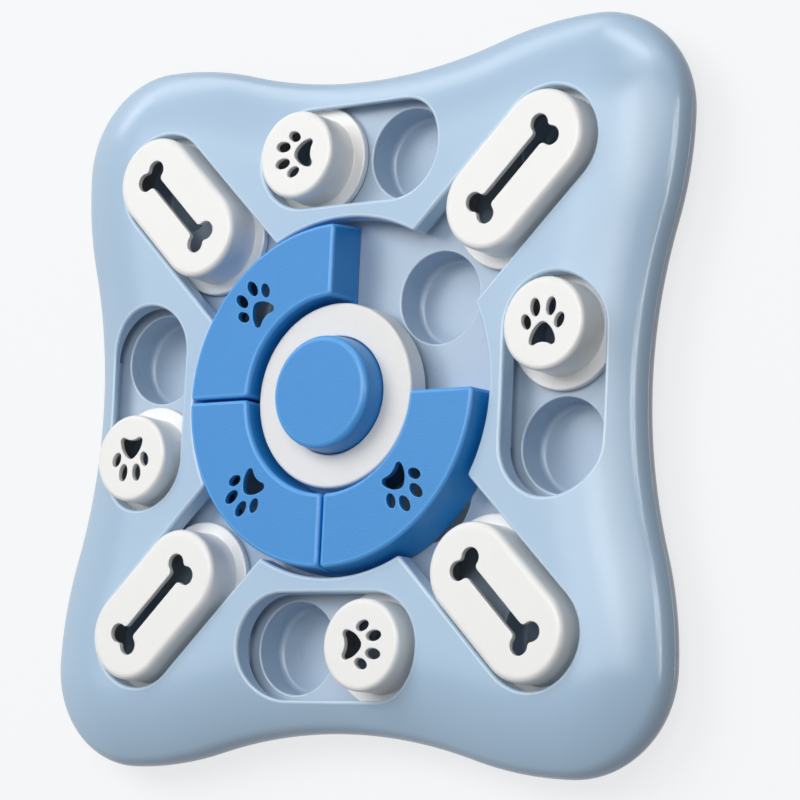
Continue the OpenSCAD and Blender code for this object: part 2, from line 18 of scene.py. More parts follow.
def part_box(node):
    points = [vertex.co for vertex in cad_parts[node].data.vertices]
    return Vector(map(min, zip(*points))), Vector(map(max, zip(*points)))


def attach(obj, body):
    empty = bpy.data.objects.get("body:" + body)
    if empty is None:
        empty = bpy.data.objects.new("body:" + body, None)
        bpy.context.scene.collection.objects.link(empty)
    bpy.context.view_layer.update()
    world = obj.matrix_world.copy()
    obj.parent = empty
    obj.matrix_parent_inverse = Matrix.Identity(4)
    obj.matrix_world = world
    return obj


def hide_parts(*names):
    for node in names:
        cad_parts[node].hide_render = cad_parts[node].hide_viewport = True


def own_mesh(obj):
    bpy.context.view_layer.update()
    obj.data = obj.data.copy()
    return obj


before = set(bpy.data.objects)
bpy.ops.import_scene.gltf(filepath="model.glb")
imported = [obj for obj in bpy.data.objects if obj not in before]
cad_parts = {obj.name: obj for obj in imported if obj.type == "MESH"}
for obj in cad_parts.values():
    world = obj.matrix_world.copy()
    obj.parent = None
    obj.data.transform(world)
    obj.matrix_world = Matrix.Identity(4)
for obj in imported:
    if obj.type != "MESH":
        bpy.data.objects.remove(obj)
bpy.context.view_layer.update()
MM = 0.001


def node_box(node):
    """Lowest and highest corner of a CAD node, in millimetres"""
    low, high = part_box(node)
    return np.array(low) / MM, np.array(high) / MM


# %% [markdown]
# ## Camera
# The camera stands at the board's right side, +X, and looks down on it. It is rolled so that the
# board's back edge, +Y, points up. Azimuth, elevation, roll and distance are easier to read than a
# matrix, so the three axes of the camera are built from them. It could be turned by hand in the
# viewport instead, but angles that are written down can be read and changed one at a time.

# %% Place the camera
# angles are in degrees, everything else is in millimetres
VIEW_AZIMUTH = 75.06
VIEW_ELEVATION = 54.01
VIEW_ROLL = 75.13
VIEW_DISTANCE = 1032.5
VIEW_AIM = Vector((20.3, -0.8, 17.0))
LENS = 128.5
FILM_WIDTH = 36


def direction(azimuth, elevation):
    """Unit vector from the board towards a place round it; azimuth 0 is the near side, -Y"""
    a, e = math.radians(azimuth), math.radians(elevation)
    return Vector((math.sin(a) * math.cos(e), -math.cos(a) * math.cos(e), math.sin(e)))


def make_camera():
    """Points a camera at the aim; its own axes are right, up and back"""
    back = direction(VIEW_AZIMUTH, VIEW_ELEVATION)
    level_up = (Vector((0, 0, 1)) - back * back.z).normalized()
    level_right = level_up.cross(back)
    roll = math.radians(VIEW_ROLL)
    up = level_up * math.cos(roll) + level_right * math.sin(roll)
    right = up.cross(back)
    camera = bpy.data.objects.new("camera", bpy.data.cameras.new("camera"))
    camera.data.lens = LENS
    camera.data.sensor_width = FILM_WIDTH
    camera.data.clip_start, camera.data.clip_end = 0.05, 20
    camera.rotation_mode = "QUATERNION"
    camera.rotation_quaternion = Matrix((right, up, back)).transposed().to_quaternion()
    camera.location = (VIEW_AIM + back * VIEW_DISTANCE) * MM
    bpy.context.scene.collection.objects.link(camera)
    bpy.context.scene.camera = camera
    return camera


camera = make_camera()
print("camera at", [round(v, 3) for v in camera.location])

# %% [markdown]
# ## Finishes
# Everything is injection-moulded ABS, apart from the vinyl bulb, the rubber feet and the screws.
# Moulded ABS has an index of refraction near 1.54 and a satin skin. The eye reads it by four
# things: a very faint unevenness of colour, a gloss that differs a little from place to place, the
# fine grain that the mould was given, and a thin bright line along tight edges, which is a painted
# highlight put into the colour. One function makes all of the plastics from those four. A mould's
# core is left unpolished, so the insides of the caps and of the ring covers are matt; they are also
# painted darker than the plastic, which is painted shade. Image textures could do the same, but
# noise in Object coordinates has no seams, and its scale in millimetres is the same on every piece.

# %% Colour and node helpers
def linear(hex_code):
    """sRGB hex to a linear colour"""
    values = [int(hex_code[i : i + 2], 16) / 255 for i in (1, 3, 5)]
    values = [v / 12.92 if v <= 0.04045 else ((v + 0.055) / 1.055) ** 2.4 for v in values]
    return (*values, 1.0)


def add(tree, kind, settings=None, **links):
    """Adds a node; settings are its properties, links are its inputs as values or as sockets. An
    input goes by its name, or by its place, as in _0, where several inputs share a name"""
    node = tree.nodes.new(kind)
    for name, value in (settings or {}).items():
        setattr(node, name, value)
    for name, value in links.items():
        key = int(name[1:]) if name[1:].isdigit() else name.replace("_", " ")
        if isinstance(value, bpy.types.NodeSocket):
            tree.links.new(value, node.inputs[key])
        else:
            node.inputs[key].default_value = value
    return node


def new_material(name):
    """A material with an empty node tree"""
    material = bpy.data.materials.new(name)
    material.use_nodes = True
    material.node_tree.nodes.clear()
    return material, material.node_tree


print("sRGB #808080 is", round(linear("#808080")[0], 3), "in linear light")

# %% A recipe for moulded plastic
# spacing of the unevenness of colour and of gloss, in millimetres
DRIFT_MM = 35.0
PATCH_MM = 12.0
# the share of a noise that is in its finest steps; a high one leaves no blotches to see
FINE_SHARE = 0.85
# how far the roughness strays each way
GLOSS_SPREAD = 0.01


def moulded(name, colour, shade, rough, grain_mm, grain_depth_mm, ior=1.54, edge=None):
    """Moulded plastic: the colour drifts towards shade, the roughness strays a little, the grain
    is a bump, and the marked points take the lighter edge colour, a painted highlight"""
    material, tree = new_material(name)
    place = add(tree, "ShaderNodeTexCoord").outputs["Object"]
    mix = {"data_type": "RGBA"}
    drift = add(
        tree,
        "ShaderNodeTexNoise",
        Vector=place,
        Scale=1 / (DRIFT_MM * MM),
        Detail=7.0,
        Roughness=FINE_SHARE,
    )
    shaded = add(tree, "ShaderNodeMapRange", Value=drift.outputs[0], _1=0.35, _2=0.75).outputs[0]
    tint = add(tree, "ShaderNodeMix", mix, _0=shaded, _6=linear(colour), _7=linear(shade))
    # painted highlight: the marked tight rounds take the lighter edge colour
    if edge:
        rubbed = add(tree, "ShaderNodeAttribute", {"attribute_name": "rubbed"}).outputs["Fac"]
        tint = add(tree, "ShaderNodeMix", mix, _0=rubbed, _6=tint.outputs[2], _7=linear(edge))
    patch = add(
        tree,
        "ShaderNodeTexNoise",
        Vector=place,
        Scale=1 / (PATCH_MM * MM),
        Detail=6.0,
        Roughness=FINE_SHARE,
    )
    gloss = add(
        tree,
        "ShaderNodeMapRange",
        Value=patch.outputs[0],
        _1=0.3,
        _2=0.7,
        _3=rough - GLOSS_SPREAD,
        _4=rough + GLOSS_SPREAD,
    )
    grain = add(tree, "ShaderNodeTexNoise", Vector=place, Scale=1 / (grain_mm * MM), Detail=2.0)
    depth = grain_depth_mm * MM
    bump = add(tree, "ShaderNodeBump", Strength=1.0, Distance=depth, Height=grain.outputs[0])
    skin = add(
        tree,
        "ShaderNodeBsdfPrincipled",
        Base_Color=tint.outputs[2],
        Roughness=gloss.outputs[0],
        IOR=ior,
        Normal=bump.outputs[0],
    )
    add(tree, "ShaderNodeOutputMaterial", Surface=skin.outputs[0])
    return material


print("plastics drift over", DRIFT_MM, "mm and change gloss over", PATCH_MM, "mm")

# %% Make the finishes
# The three numbers are the roughness, the spacing of the mould's grain in millimetres, and its
# depth. A real grain is finer than half a millimetre and would not show, so it is drawn coarser.

# an edge colour is a painted highlight along tight rounds
# the cover: a polished mould, so its rounded rim carries long soft bands of light
BOARD_ABS = moulded("pale_blue_abs", "#aac6df", "#a8c4dd", 0.24, 0.9, 0.0005, edge="#c2d9ee")
# the base: the same plastic painted a little greyer and darker, a painted shade so the wells look
# deep and quiet, and duller
TRAY_ABS_SHADED = moulded("grey_blue_abs", "#adc1d5", "#abbfd3", 0.28, 0.9, 0.0005, edge="#c2d3e4")
# the caps: bright white satin that gleams only along its rounds
CAP_ABS = moulded("white_abs", "#f4f4f2", "#f1f1ef", 0.3, 0.8, 0.002)
# their insides: matt, and painted darker than the plastic is, a painted shade so the cut-outs read
# as dark signs
CAP_PAINTED_SHADE = moulded("white_abs_core_side", "#9a9b9c", "#929394", 0.5, 0.8, 0.002)
# the collar: a warmer white from a spark-eroded mould, which takes nearly all the gleam off it
COLLAR_ABS = moulded("warm_white_abs", "#ebeae8", "#e6e5e2", 0.42, 0.6, 0.006)
# the ring and the button: a strong blue with a leathery grain, and a painted highlight along every
# edge
RING_ABS = moulded(
    "grained_blue_abs", "#1d89d3", "#1a84cf", 0.3, 0.8, 0.09, ior=1.5, edge="#4aa3ec"
)
# the insides of the ring covers: a painted shade, a dark matt navy behind the paws
RING_PAINTED_SHADE = moulded("blue_abs_core_side", "#1d5286", "#1a4d7f", 0.5, 0.6, 0.002)
# the bulb: dip-moulded vinyl, dull and slightly wavy
VINYL = moulded("grey_vinyl", "#5d6672", "#535c68", 0.5, 1.2, 0.02, ior=1.5)
# the feet: pressed rubber, the dullest surface of the toy
RUBBER = moulded("grey_rubber", "#4b535e", "#434b55", 0.62, 0.8, 0.03, ior=1.5)

# spacing of the clouds in the zinc
CLOUD_MM = 1.5


def zinc_plate():
    """Bright zinc on steel: a cool metal that the plating has clouded"""
    material, tree = new_material("zinc_plated_steel")
    place = add(tree, "ShaderNodeTexCoord").outputs["Object"]
    cloud = add(tree, "ShaderNodeTexNoise", Vector=place, Scale=1 / (CLOUD_MM * MM), Detail=3.0)
    mix = {"data_type": "RGBA"}
    bright, dull = linear("#b8bcc2"), linear("#9da2aa")
    tint = add(tree, "ShaderNodeMix", mix, _0=cloud.outputs[0], _6=bright, _7=dull)
    gloss = add(
        tree, "ShaderNodeMapRange", Value=cloud.outputs[0], _1=0.3, _2=0.7, _3=0.24, _4=0.42
    )
    skin = add(
        tree,
        "ShaderNodeBsdfPrincipled",
        Base_Color=tint.outputs[2],
        Metallic=1.0,
        Roughness=gloss.outputs[0],
    )
    add(tree, "ShaderNodeOutputMaterial", Surface=skin.outputs[0])
    return material


ZINC = zinc_plate()
plastics = (BOARD_ABS, TRAY_ABS_SHADED, CAP_ABS, CAP_PAINTED_SHADE, COLLAR_ABS, RING_ABS, RING_PAINTED_SHADE)
print("finishes:", [finish.name for finish in (*plastics, VINYL, RUBBER, ZINC)])

# %% [markdown]
# ## Outlines
# Every opening, cap and cut-out of this toy is a closed outline of arcs and straight runs. An
# outline is kept as two lists: points, and for each point the direction in which the outline
# grows. Adding a length times the direction gives the same outline, larger or smaller, with the
# same number of points, so that rounded edges and walls are bands between such copies. Curve
# objects could hold the outlines too, but their bevels can't follow the cover's crowned surface.

# %% Arcs, runs and outlines
def polar(degrees):
    """Unit vector in a direction, or one for each of several"""
    a = np.radians(degrees)
    return np.stack([np.cos(a), np.sin(a)], -1)


def arc(centre, radius, start, stop, steps, grows=1):
    """Points of an arc without its last one; grows is -1 for a hollow arc, whose middle lies
    outside the outline"""
    u = polar(np.linspace(start, stop, steps, endpoint=False))
    return np.asarray(centre) + radius * u, grows * u


def run(start, stop, steps):
    """Points of a straight side without its last one, growing to the right of its direction"""
    start, stop = np.asarray(start, float), np.asarray(stop, float)
    along = (stop - start) / np.linalg.norm(stop - start)
    t = np.linspace(0, 1, steps, endpoint=False)[:, None]
    return start + t * (stop - start), np.tile([along[1], -along[0]], (steps, 1))


def outline(*parts):
    """Joins arcs and runs end to end"""
    return np.concatenate([p[0] for p in parts]), np.concatenate([p[1] for p in parts])


def turned(shape, degrees):
    """An outline turned about the origin"""
    c, s = polar(degrees)
    spin = np.array([[c, s], [-s, c]])
    return shape[0] @ spin, shape[1] @ spin


def spun(place, degrees):
    """One place turned about the middle of the board"""
    c, s = polar(degrees)
    return np.array([place[0] * c - place[1] * s, place[0] * s + place[1] * c])


def moved(shape, offset):
    """An outline shifted sideways"""
    return shape[0] + np.asarray(offset), shape[1]


def circle(centre, steps):
    """A point that grows into a circle"""
    u = polar(np.linspace(0, 360, steps, endpoint=False))
    return np.zeros((steps, 2)) + centre, u


def stadium(half, steps=20, side_steps=6):
    """A line of that half length that grows into a round-ended slot"""
    return outline(
        run((-half, 0), (half, 0), side_steps),
        arc((half, 0), 0, -90, 90, steps),
        run((half, 0), (-half, 0), side_steps),
        arc((-half, 0), 0, 90, 270, steps),
    )


def rounded(corners, steps):
    """A profile of (growth, height, radius) corners, with an arc for each corner that has one"""
    path = []
    for i, (x, z, radius) in enumerate(corners):
        here = np.array([x, z], float)
        if radius == 0:
            path.append(here)
            continue
        back = np.array(corners[i - 1][:2]) - here
        ahead = np.array(corners[i + 1][:2]) - here
        back_length, ahead_length = np.linalg.norm(back), np.linalg.norm(ahead)
        back, ahead = back / back_length, ahead / ahead_length
        half = math.acos(np.clip(back @ ahead, -1, 1)) / 2
        reach = radius / math.tan(half)
        centre = here + (back + ahead) / np.linalg.norm(back + ahead) * radius / math.sin(half)
        # a holding point beside each arc keeps the flat side's shading flat
        hold = 0.25 * radius
        if back_length > reach + hold:
            path.append(here + back * (reach + hold))
        first = here + back * reach - centre
        last = here + ahead * reach - centre
        sweep = math.pi - 2 * half
        for k in range(steps + 1):
            t = k / steps
            weight = (math.sin((1 - t) * sweep), math.sin(t * sweep))
            path.append(centre + (first * weight[0] + last * weight[1]) / math.sin(sweep))
        if ahead_length > reach + hold:
            path.append(here + ahead * (reach + hold))
    return [tuple(p) for p in path]


print("a slot outline has", len(stadium(20)[0]), "points")

# %% [markdown]
# ## Skins
# A moulded part is one closed skin. It is built from bands, which carry an outline up or down a
# profile, and from fills, which close the space between outlines. A fill is a constrained
# Delaunay triangulation: it keeps every edge of the outlines, so holes of any shape can be left
# in it, and extra points give a curved surface enough facets. Boolean cuts could make the same
# holes, but they leave thin slanting faces, which show as dents in a satin surface.

# %% Which triangles belong to a fill
def inside(points, polygon):
    """Which of the points lie in a polygon"""
    x, y = points[:, :1], points[:, 1:]
    x0, y0 = polygon[:, 0], polygon[:, 1]
    x1, y1 = np.roll(x0, -1), np.roll(y0, -1)
    crosses = (y0 > y) != (y1 > y)
    slope = (x1 - x0) / np.where(y1 == y0, 1e-9, y1 - y0)
    return (crosses & (x < x0 + (y - y0) * slope)).sum(1) % 2 == 1


def nearest(points, others):
    """Distance from each point to the nearest of the others"""
    return np.array([np.sqrt(((others - p) ** 2).sum(1).min()) for p in points])


def parted(triangles, walls):
    """A region's number for each triangle; no wall lies between two triangles of one region"""
    beside = {}
    for t, triangle in enumerate(triangles):
        for i in range(3):
            edge = frozenset((triangle[i], triangle[i - 1]))
            if edge not in walls:
                beside.setdefault(edge, []).append(t)
    neighbours = [[] for _ in triangles]
    for pair in beside.values():
        for t in pair:
            neighbours[t].extend(pair)
    region = np.full(len(triangles), -1)
    for start in range(len(triangles)):
        waiting = [start]
        while waiting:
            t = waiting.pop()
            if region[t] < 0:
                region[t] = start
                waiting += neighbours[t]
    return region


print("a strip of two triangles is", len(set(parted([(0, 1, 2), (1, 3, 2)], set()))), "region")

# %% [markdown]
# Tight rounds catch a thin line of light and flats do not, and that line is painted into the
# colour as a painted highlight. The skin therefore measures the round at each of its edges: the
# bend between the two faces and their width give its radius. The result is kept on the points as
# an attribute, which the finishes read. The shader's own Pointiness could find edges too, but it
# changes with how finely a mesh is divided.

# %% The skin builder
# rounds of the first radius or less get the whole painted highlight, those of the second or more
# get none
HIGHLIGHT_R = (2.6, 4.5)
# bends in degrees that belong to a round: less is nearly flat, more is a sharp corner
HIGHLIGHT_BEND = (5, 60)


class Skin:
    """Collects the points, in millimetres, and the faces of one closed skin"""

    def __init__(self):
        self.points = []
        self.faces = []

    def add(self, xyz):
        """Keeps some points and returns their numbers"""
        start = len(self.points)
        self.points.extend(tuple(p) for p in xyz)
        return np.arange(start, len(self.points))

    def band(self, low, high):
        """Joins two loops of as many points by a belt of quads"""
        for i in range(len(low)):
            j = (i + 1) % len(low)
            self.faces.append((low[i], low[j], high[j], high[i]))

    def rise(self, shape, profile, lean=None, close=False):
        """Carries an outline through (growth, height) pairs; a height may depend on the place.
        lean(height) gives a further sideways move for each point of the outline."""
        loops = []
        for growth, height in profile:
            xy = shape[0] + growth * shape[1]
            if lean is not None:
                xy = xy + lean(height)
            z = height(xy) if callable(height) else np.full(len(xy), height)
            loops.append(self.add(np.column_stack([xy, z])))
        for low, high in zip(loops, loops[1:]):
            self.band(low, high)
        if close:
            self.band(loops[-1], loops[0])
        return loops[0], loops[-1]

    def pole(self, loop, height):
        """Closes a round loop with a fan to its middle"""
        middle = np.mean([self.points[i][:2] for i in loop], 0)
        tip = self.add([(*middle, height)])[0]
        for i in range(len(loop)):
            self.faces.append((loop[i], loop[(i + 1) % len(loop)], tip))

    def fill(self, outer, holes=(), height=None, step=0):
        """Closes the space between an outer loop and holes; step adds points of that spacing"""
        loops = [outer, *holes]
        ids = np.concatenate(loops)
        points = np.array([self.points[i] for i in ids])
        edges, at = [], 0
        for loop in loops:
            edges += [(at + i, at + (i + 1) % len(loop)) for i in range(len(loop))]
            at += len(loop)
        polygons = [np.array([self.points[i][:2] for i in loop]) for loop in loops]

        def in_region(xy):
            keep = inside(xy, polygons[0])
            for hole in polygons[1:]:
                keep &= ~inside(xy, hole)
            return keep

        if step:
            low, high = polygons[0].min(0), polygons[0].max(0)
            row = step * math.sqrt(3) / 2
            grid = [
                (x + step / 2 * (k % 2), y)
                for k, y in enumerate(np.arange(low[1], high[1], row))
                for x in np.arange(low[0], high[0], step)
            ]
            grid = np.array(grid)
            grid = grid[in_region(grid)]
            grid = grid[nearest(grid, points[:, :2]) > 0.6 * step]
            raised = np.column_stack([grid, height(grid)])
            ids = np.concatenate([ids, self.add(raised)])
            points = np.vstack([points, raised])
        flat = [Vector(p) for p in points[:, :2]]
        out = delaunay_2d_cdt(flat, edges, [], 0, 1e-6)
        places = np.array([tuple(v) for v in out[0]])
        original = [ids[source[0]] if source else None for source in out[3]]
        walls = {frozenset(edge) for edge, source in zip(out[1], out[4]) if source}
        triangles = np.array(out[2])
        region = parted(triangles, walls)
        a, b, c = places[triangles].transpose(1, 0, 2)
        size = np.abs((b - a)[:, 0] * (c - a)[:, 1] - (b - a)[:, 1] * (c - a)[:, 0])
        for number in np.unique(region):
            members = np.flatnonzero(region == number)
            widest = members[size[members].argmax()]
            if size[widest] > 1e-6 and in_region(places[triangles[widest]].mean(0)[None])[0]:
                self.faces += [tuple(original[i] for i in triangles[t]) for t in members]

    def paint_edge_highlights(self, work):
        """Marks the points on tight outward rounds, where finishes paint a highlight"""
        rubbed = work.verts.layers.float.new("rubbed")
        for edge in work.edges:
            bend = edge.calc_face_angle_signed() if len(edge.link_faces) == 2 else 0
            if math.radians(HIGHLIGHT_BEND[0]) < bend < math.radians(HIGHLIGHT_BEND[1]):
                across = sum(face.calc_area() for face in edge.link_faces) / edge.calc_length() / 2
                radius = across / bend / MM
                share = min(max((HIGHLIGHT_R[1] - radius) / (HIGHLIGHT_R[1] - HIGHLIGHT_R[0]), 0), 1)
                for point in edge.verts:
                    point[rubbed] = max(point[rubbed], share)

    def mesh(self, name, material=None, sharp=38):
        """A smooth mesh in metres, with crisp edges only where the skin turns sharply"""
        mesh = bpy.data.meshes.new(name)
        if material:
            mesh.materials.append(material)
        mesh.from_pydata([tuple(v * MM for v in p) for p in self.points], [], self.faces)
        work = bmesh.new()
        work.from_mesh(mesh)
        bmesh.ops.remove_doubles(work, verts=work.verts, dist=0.002 * MM)
        bmesh.ops.recalc_face_normals(work, faces=work.faces)
        loose = [v for v in work.verts if not v.link_faces]
        bmesh.ops.delete(work, geom=loose, context="VERTS")
        self.paint_edge_highlights(work)
        open_edges = sum(1 for e in work.edges if len(e.link_faces) != 2)
        work.to_mesh(mesh)
        work.free()
        mesh.shade_smooth()
        mesh.set_sharp_from_angle(angle=math.radians(sharp))
        print(f"{name}: {len(mesh.polygons)} faces, {open_edges} open edges")
        return mesh


print("rounds up to", HIGHLIGHT_R[0], "mm are rubbed")


# %% Paint shade into the inside of a part, and hand a piece over
def paint_shade_inside(mesh, material, centre, ceiling_z):
    """Paints shade into the hidden hollow of a cap or cover: the faces under the ceiling that look
    down, or in towards the middle, take a darker material, which is painted shade"""
    mesh.materials.append(material)
    middle = Vector((*centre, 0)) * MM
    for face in mesh.polygons:
        if face.center.z < (ceiling_z + 0.01) * MM:
            inward = (middle - face.center).to_2d().normalized().dot(face.normal.to_2d())
            if inward > 0.3 or face.normal.z < -0.9:
                face.material_index = 1


def put(mesh, body, replaced):
    """Makes a finished piece of a mesh and says which body it rides and what it replaces"""
    piece = bpy.data.objects.new(mesh.name, mesh)
    bpy.context.scene.collection.objects.link(piece)
    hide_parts(*replaced)
    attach(piece, body)
    return piece


# %% [markdown]
# ## The board's outline and crown
# Seen from above, the board's edge is a round lobe at each corner, a hollow curve along each
# side and a flatter shoulder between them. In section the edge is a tight curve that runs into
# a flat crown. Both are arcs that touch smoothly, and the shared direction of two arcs is what
# fixes where one ends and the next begins. A box under a Subdivision Surface could be pulled into
# this shape by eye, but arcs keep to the frame's sizes.

# %% Board outline
cover_low, cover_high = node_box("top_cover")
board_w = cover_high[0] - cover_low[0]
rim_z = cover_low[2]
crown_z = cover_high[2]

SIDE_DIP = 13.8
SIDE_R = 203.0
# the direction in which a side's hollow meets the shoulder, from a right triangle 0.28 : 0.96
FLARE = math.degrees(math.atan2(0.28, 0.96))
arc_span = SIDE_DIP / (1 - math.cos(math.radians(FLARE)))
shoulder_r = arc_span - SIDE_R
lobe_at = math.sin(math.radians(FLARE)) * arc_span
lobe_r = board_w / 2 - lobe_at
shoulder_x = board_w / 2 - shoulder_r
side_x = board_w / 2 - SIDE_DIP + SIDE_R


def board_outline():
    """The board's edge: in each quarter a lobe, a shoulder, a side's hollow and a shoulder"""
    quarters = []
    for q in range(4):
        lobe = arc((lobe_at, lobe_at), lobe_r, 0, 90, 30)
        near = arc((lobe_at, shoulder_x), shoulder_r, 90, 90 + FLARE, 12)
        side = arc((0, side_x), SIDE_R, 270 + FLARE, 270 - FLARE, 36, grows=-1)
        far = arc((-lobe_at, shoulder_x), shoulder_r, 90 - FLARE, 90, 12)
        quarters.append(turned(outline(lobe, near, side, far), 90 * q))
    return outline(*quarters)


def inset(xy):
    """How far points lie inside the board's outline"""
    y, x = np.sort(np.abs(xy), axis=1).T
    lobe = lobe_r - np.hypot(x - lobe_at, y - lobe_at)
    shoulder = shoulder_r - np.hypot(x - shoulder_x, y - lobe_at)
    side = np.hypot(x - side_x, y) - SIDE_R
    by_side = y < math.tan(math.radians(FLARE)) * (side_x - x)
    return np.where(by_side, side, np.where(y < lobe_at, shoulder, lobe))


print("board", round(board_w, 1), "mm, lobe radius", round(lobe_r, 1))

# %% Crown profile
RIM_R = 8.0
CROWN_R = 58.0
LOW_RIM_R = 11.0
COVER_WALL = 2.2
# cosine of the angle through which the rim's arc has turned where the crown's begins
crown_lean = 336 / 625
crown_in = RIM_R + crown_lean * (CROWN_R - RIM_R)
crown_rise = crown_z - rim_z


def crown(depth, wall=0.0):
    """Height of the cover at a distance inside the outline, or of its underside under a wall"""
    low = np.sqrt(np.clip((RIM_R - wall) ** 2 - (RIM_R - depth) ** 2, 0, None))
    hollow = np.clip(crown_in - depth, 0, None)
    high = crown_rise - CROWN_R + np.sqrt((CROWN_R - wall) ** 2 - hollow**2)
    turn = RIM_R - (RIM_R - wall) * crown_lean
    return rim_z + np.where(depth < turn, low, high)


def crown_at(xy):
    """Height of the cover's top at places on the board"""
    return crown(inset(xy))


def under_at(xy):
    """Height of the cover's underside at places on the board"""
    return crown(inset(xy), COVER_WALL)


print("crown", round(crown_z, 2), "mm over the floor")

# %% [markdown]
# ## Cover
# The cover is a thin shell with one star-shaped opening for the ring and its four channels, and
# a slot near each side. Its edges are broken by a soft round, and a short wall turns down round
# each opening and stops over the tray, so that the brims of the sliders can pass beneath it. A
# flat plate with Solidify and Bevel would do for a flat board. Here the crown gives each edge
# another height all the way round, so the heights of an edge are measured down from the crown.

# %% Openings of the cover
# heights of the tray's floor and of the foot of the walls that turn down to it
TRAY_Z = 17.0
LIP_Z = TRAY_Z + 4.2
# the thickness of those walls, and the round at their top
SKIRT = 1.2
EDGE = 1.1
# a side slot: its place, how far its two ends lie to each side of that, and half its width
SLOT_AT = 90.6
PARK = 20.1
SLOT_R = 19.2
# a corner channel: half its width, and the middle of its round end
CHANNEL_R = 19.5
CHANNEL_END = 122.45
# the round opening for the ring, and the blunt tips between it and the channels
OPENING_R = 66.05
TIP_R = 1.6


def main_opening():
    """Circle and four channels, with the tips between them slightly blunted"""
    tip_y = CHANNEL_R + TIP_R
    tip_x = math.sqrt((OPENING_R + TIP_R) ** 2 - tip_y**2)
    lean = math.degrees(math.atan2(tip_y, tip_x))
    parts = []
    for q in range(4):
        quarter = outline(
            arc((tip_x, -tip_y), TIP_R, 180 - lean, 90, 6, grows=-1),
            run((tip_x, -CHANNEL_R), (CHANNEL_END, -CHANNEL_R), 20),
            arc((CHANNEL_END, 0), CHANNEL_R, -90, 90, 28),
            run((CHANNEL_END, CHANNEL_R), (tip_x, CHANNEL_R), 20),
            arc((tip_x, tip_y), TIP_R, 270, 180 + lean, 6, grows=-1),
            arc((0, 0), OPENING_R, lean, 90 - lean, 22),
        )
        parts.append(turned(quarter, 45 + 90 * q))
    return outline(*parts)


def side_slot(q):
    """The slot for the paw cap of one side, turned q quarters on from +X"""
    slot = stadium(PARK, 26, 16)
    slot = (slot[0] + SLOT_R * slot[1], slot[1])
    return turned(moved(turned(slot, 90), (SLOT_AT, 0)), 90 * q)


openings = [main_opening()] + [side_slot(q) for q in range(4)]
print("openings:", len(openings), "with", sum(len(o[0]) for o in openings), "points")

# %% Build the cover
FILL_IN = 9.0
SEAM = 0.3


def rim_depths(wall):
    """Insets at which the crown's profile gets a loop, from the wall to the fill"""
    tight = RIM_R - (RIM_R - wall) * np.cos(np.radians(np.arange(6, 57, 6)))
    return [*tight, *np.linspace(tight[-1] + 0.6, FILL_IN, 6)]


def edge_profile():
    """From the top of the cover over its soft edge, down the wall and up behind it"""
    steps = [(EDGE + 0.25, crown_at)]
    for angle in np.linspace(0, 90, 7):
        drop = EDGE * (1 - math.cos(math.radians(angle)))
        growth = EDGE * (1 - math.sin(math.radians(angle)))
        steps.append((growth, lambda xy, drop=drop: crown_at(xy) - drop))
    steps.append((0, lambda xy: crown_at(xy) - EDGE - 0.3))

    def lip(xy):
        return np.minimum(LIP_Z, under_at(xy))

    steps += [
        (0, lambda xy: lip(xy) + 0.7),
        (0, lambda xy: lip(xy) + 0.4),
        (0.12, lambda xy: lip(xy) + 0.12),
        (0.4, lip),
        (SKIRT, lip),
        (SKIRT, under_at),
        (SKIRT + 0.3, under_at),
    ]
    return steps


def make_cover():
    """One skin: from the underside out to the rim, round it and over the top, with the openings
    set into both fills"""
    skin = Skin()
    profile = [(-d, float(crown(d, COVER_WALL))) for d in reversed(rim_depths(COVER_WALL))]
    profile += [(-COVER_WALL, rim_z + 0.4), (-COVER_WALL, rim_z), (-SEAM, rim_z)]
    profile += [(-0.1, rim_z + 0.1), (0, rim_z + SEAM)]
    profile += [(-d, float(crown(d))) for d in rim_depths(0)]
    under, top = skin.rise(board_outline(), profile)
    tops, unders = [], []
    for opening in openings:
        first, last = skin.rise(opening, edge_profile())
        tops.append(first)
        unders.append(last)
    skin.fill(top, tops, crown_at, step=3.4)
    skin.fill(under, unders, under_at, step=6.0)
    put(skin.mesh("top_cover_shell", BOARD_ABS), "housing", ["top_cover"])


make_cover()

# %% [markdown]
# ## Base tray
# The base closes the board from below. From above only its tray shows: a flat floor with round
# treat wells, whose mouths are broken by a small round and whose floors run up into the walls.
# From below it shows the wells as cups, the screw posts, and the ribs between them. Each cup could
# be a piece of its own, but the real base is one moulding, and one skin has no line where a cup
# meets the floor.

# %% Base tray values
base_z = node_box("base_rim")[0][2]
# the plate's underside, and how far in the rim's inside face stands
PLATE_Z = 14.5
RIM_WALL = 11.5
# the treat wells; those of the ring and of the bone caps lie on the diagonals
WELL_R = 17.0
WELL_DEPTH = 12.6
CUP_WALL = 1.8
RING_WELL_AT = 50.7
BONE_WELL_AT = 121.5
# the cup that holds the bulb, and the hole in its floor that lets the sound out
HUB_CUP_R = 15.0
HUB_CUP_DEPTH = 12.0
SOUND_R = 2.0
# the screw posts: each has a hole for the screw's head, up to the ledge on which it pulls
POST_R = 4.5
POST_FOOT_Z = 5
HEAD_HOLE_R = 3.1
LEDGE_Z = 11.0
POST_PAIR = (52.0, 108.07)
POST_CORNER = 110.11
# the room between the cover's wall and the step of the base that stands inside it
STEP_GAP = 0.4


def well_places():
    """The middles of the sixteen treat wells"""
    places = []
    for q in range(4):
        for s in (-1, 1):
            places.append(spun((SLOT_AT, s * PARK), 90 * q))
        for r in (RING_WELL_AT, BONE_WELL_AT):
            places.append(r * polar(45 + 90 * q))
    return places


def post_places():
    """The middles of the twelve screw posts"""
    quarter = (POST_PAIR, POST_PAIR[::-1], (POST_CORNER, POST_CORNER))
    return [spun(place, 90 * q) for q in range(4) for place in quarter]


print("wells:", len(well_places()), "posts:", len(post_places()))

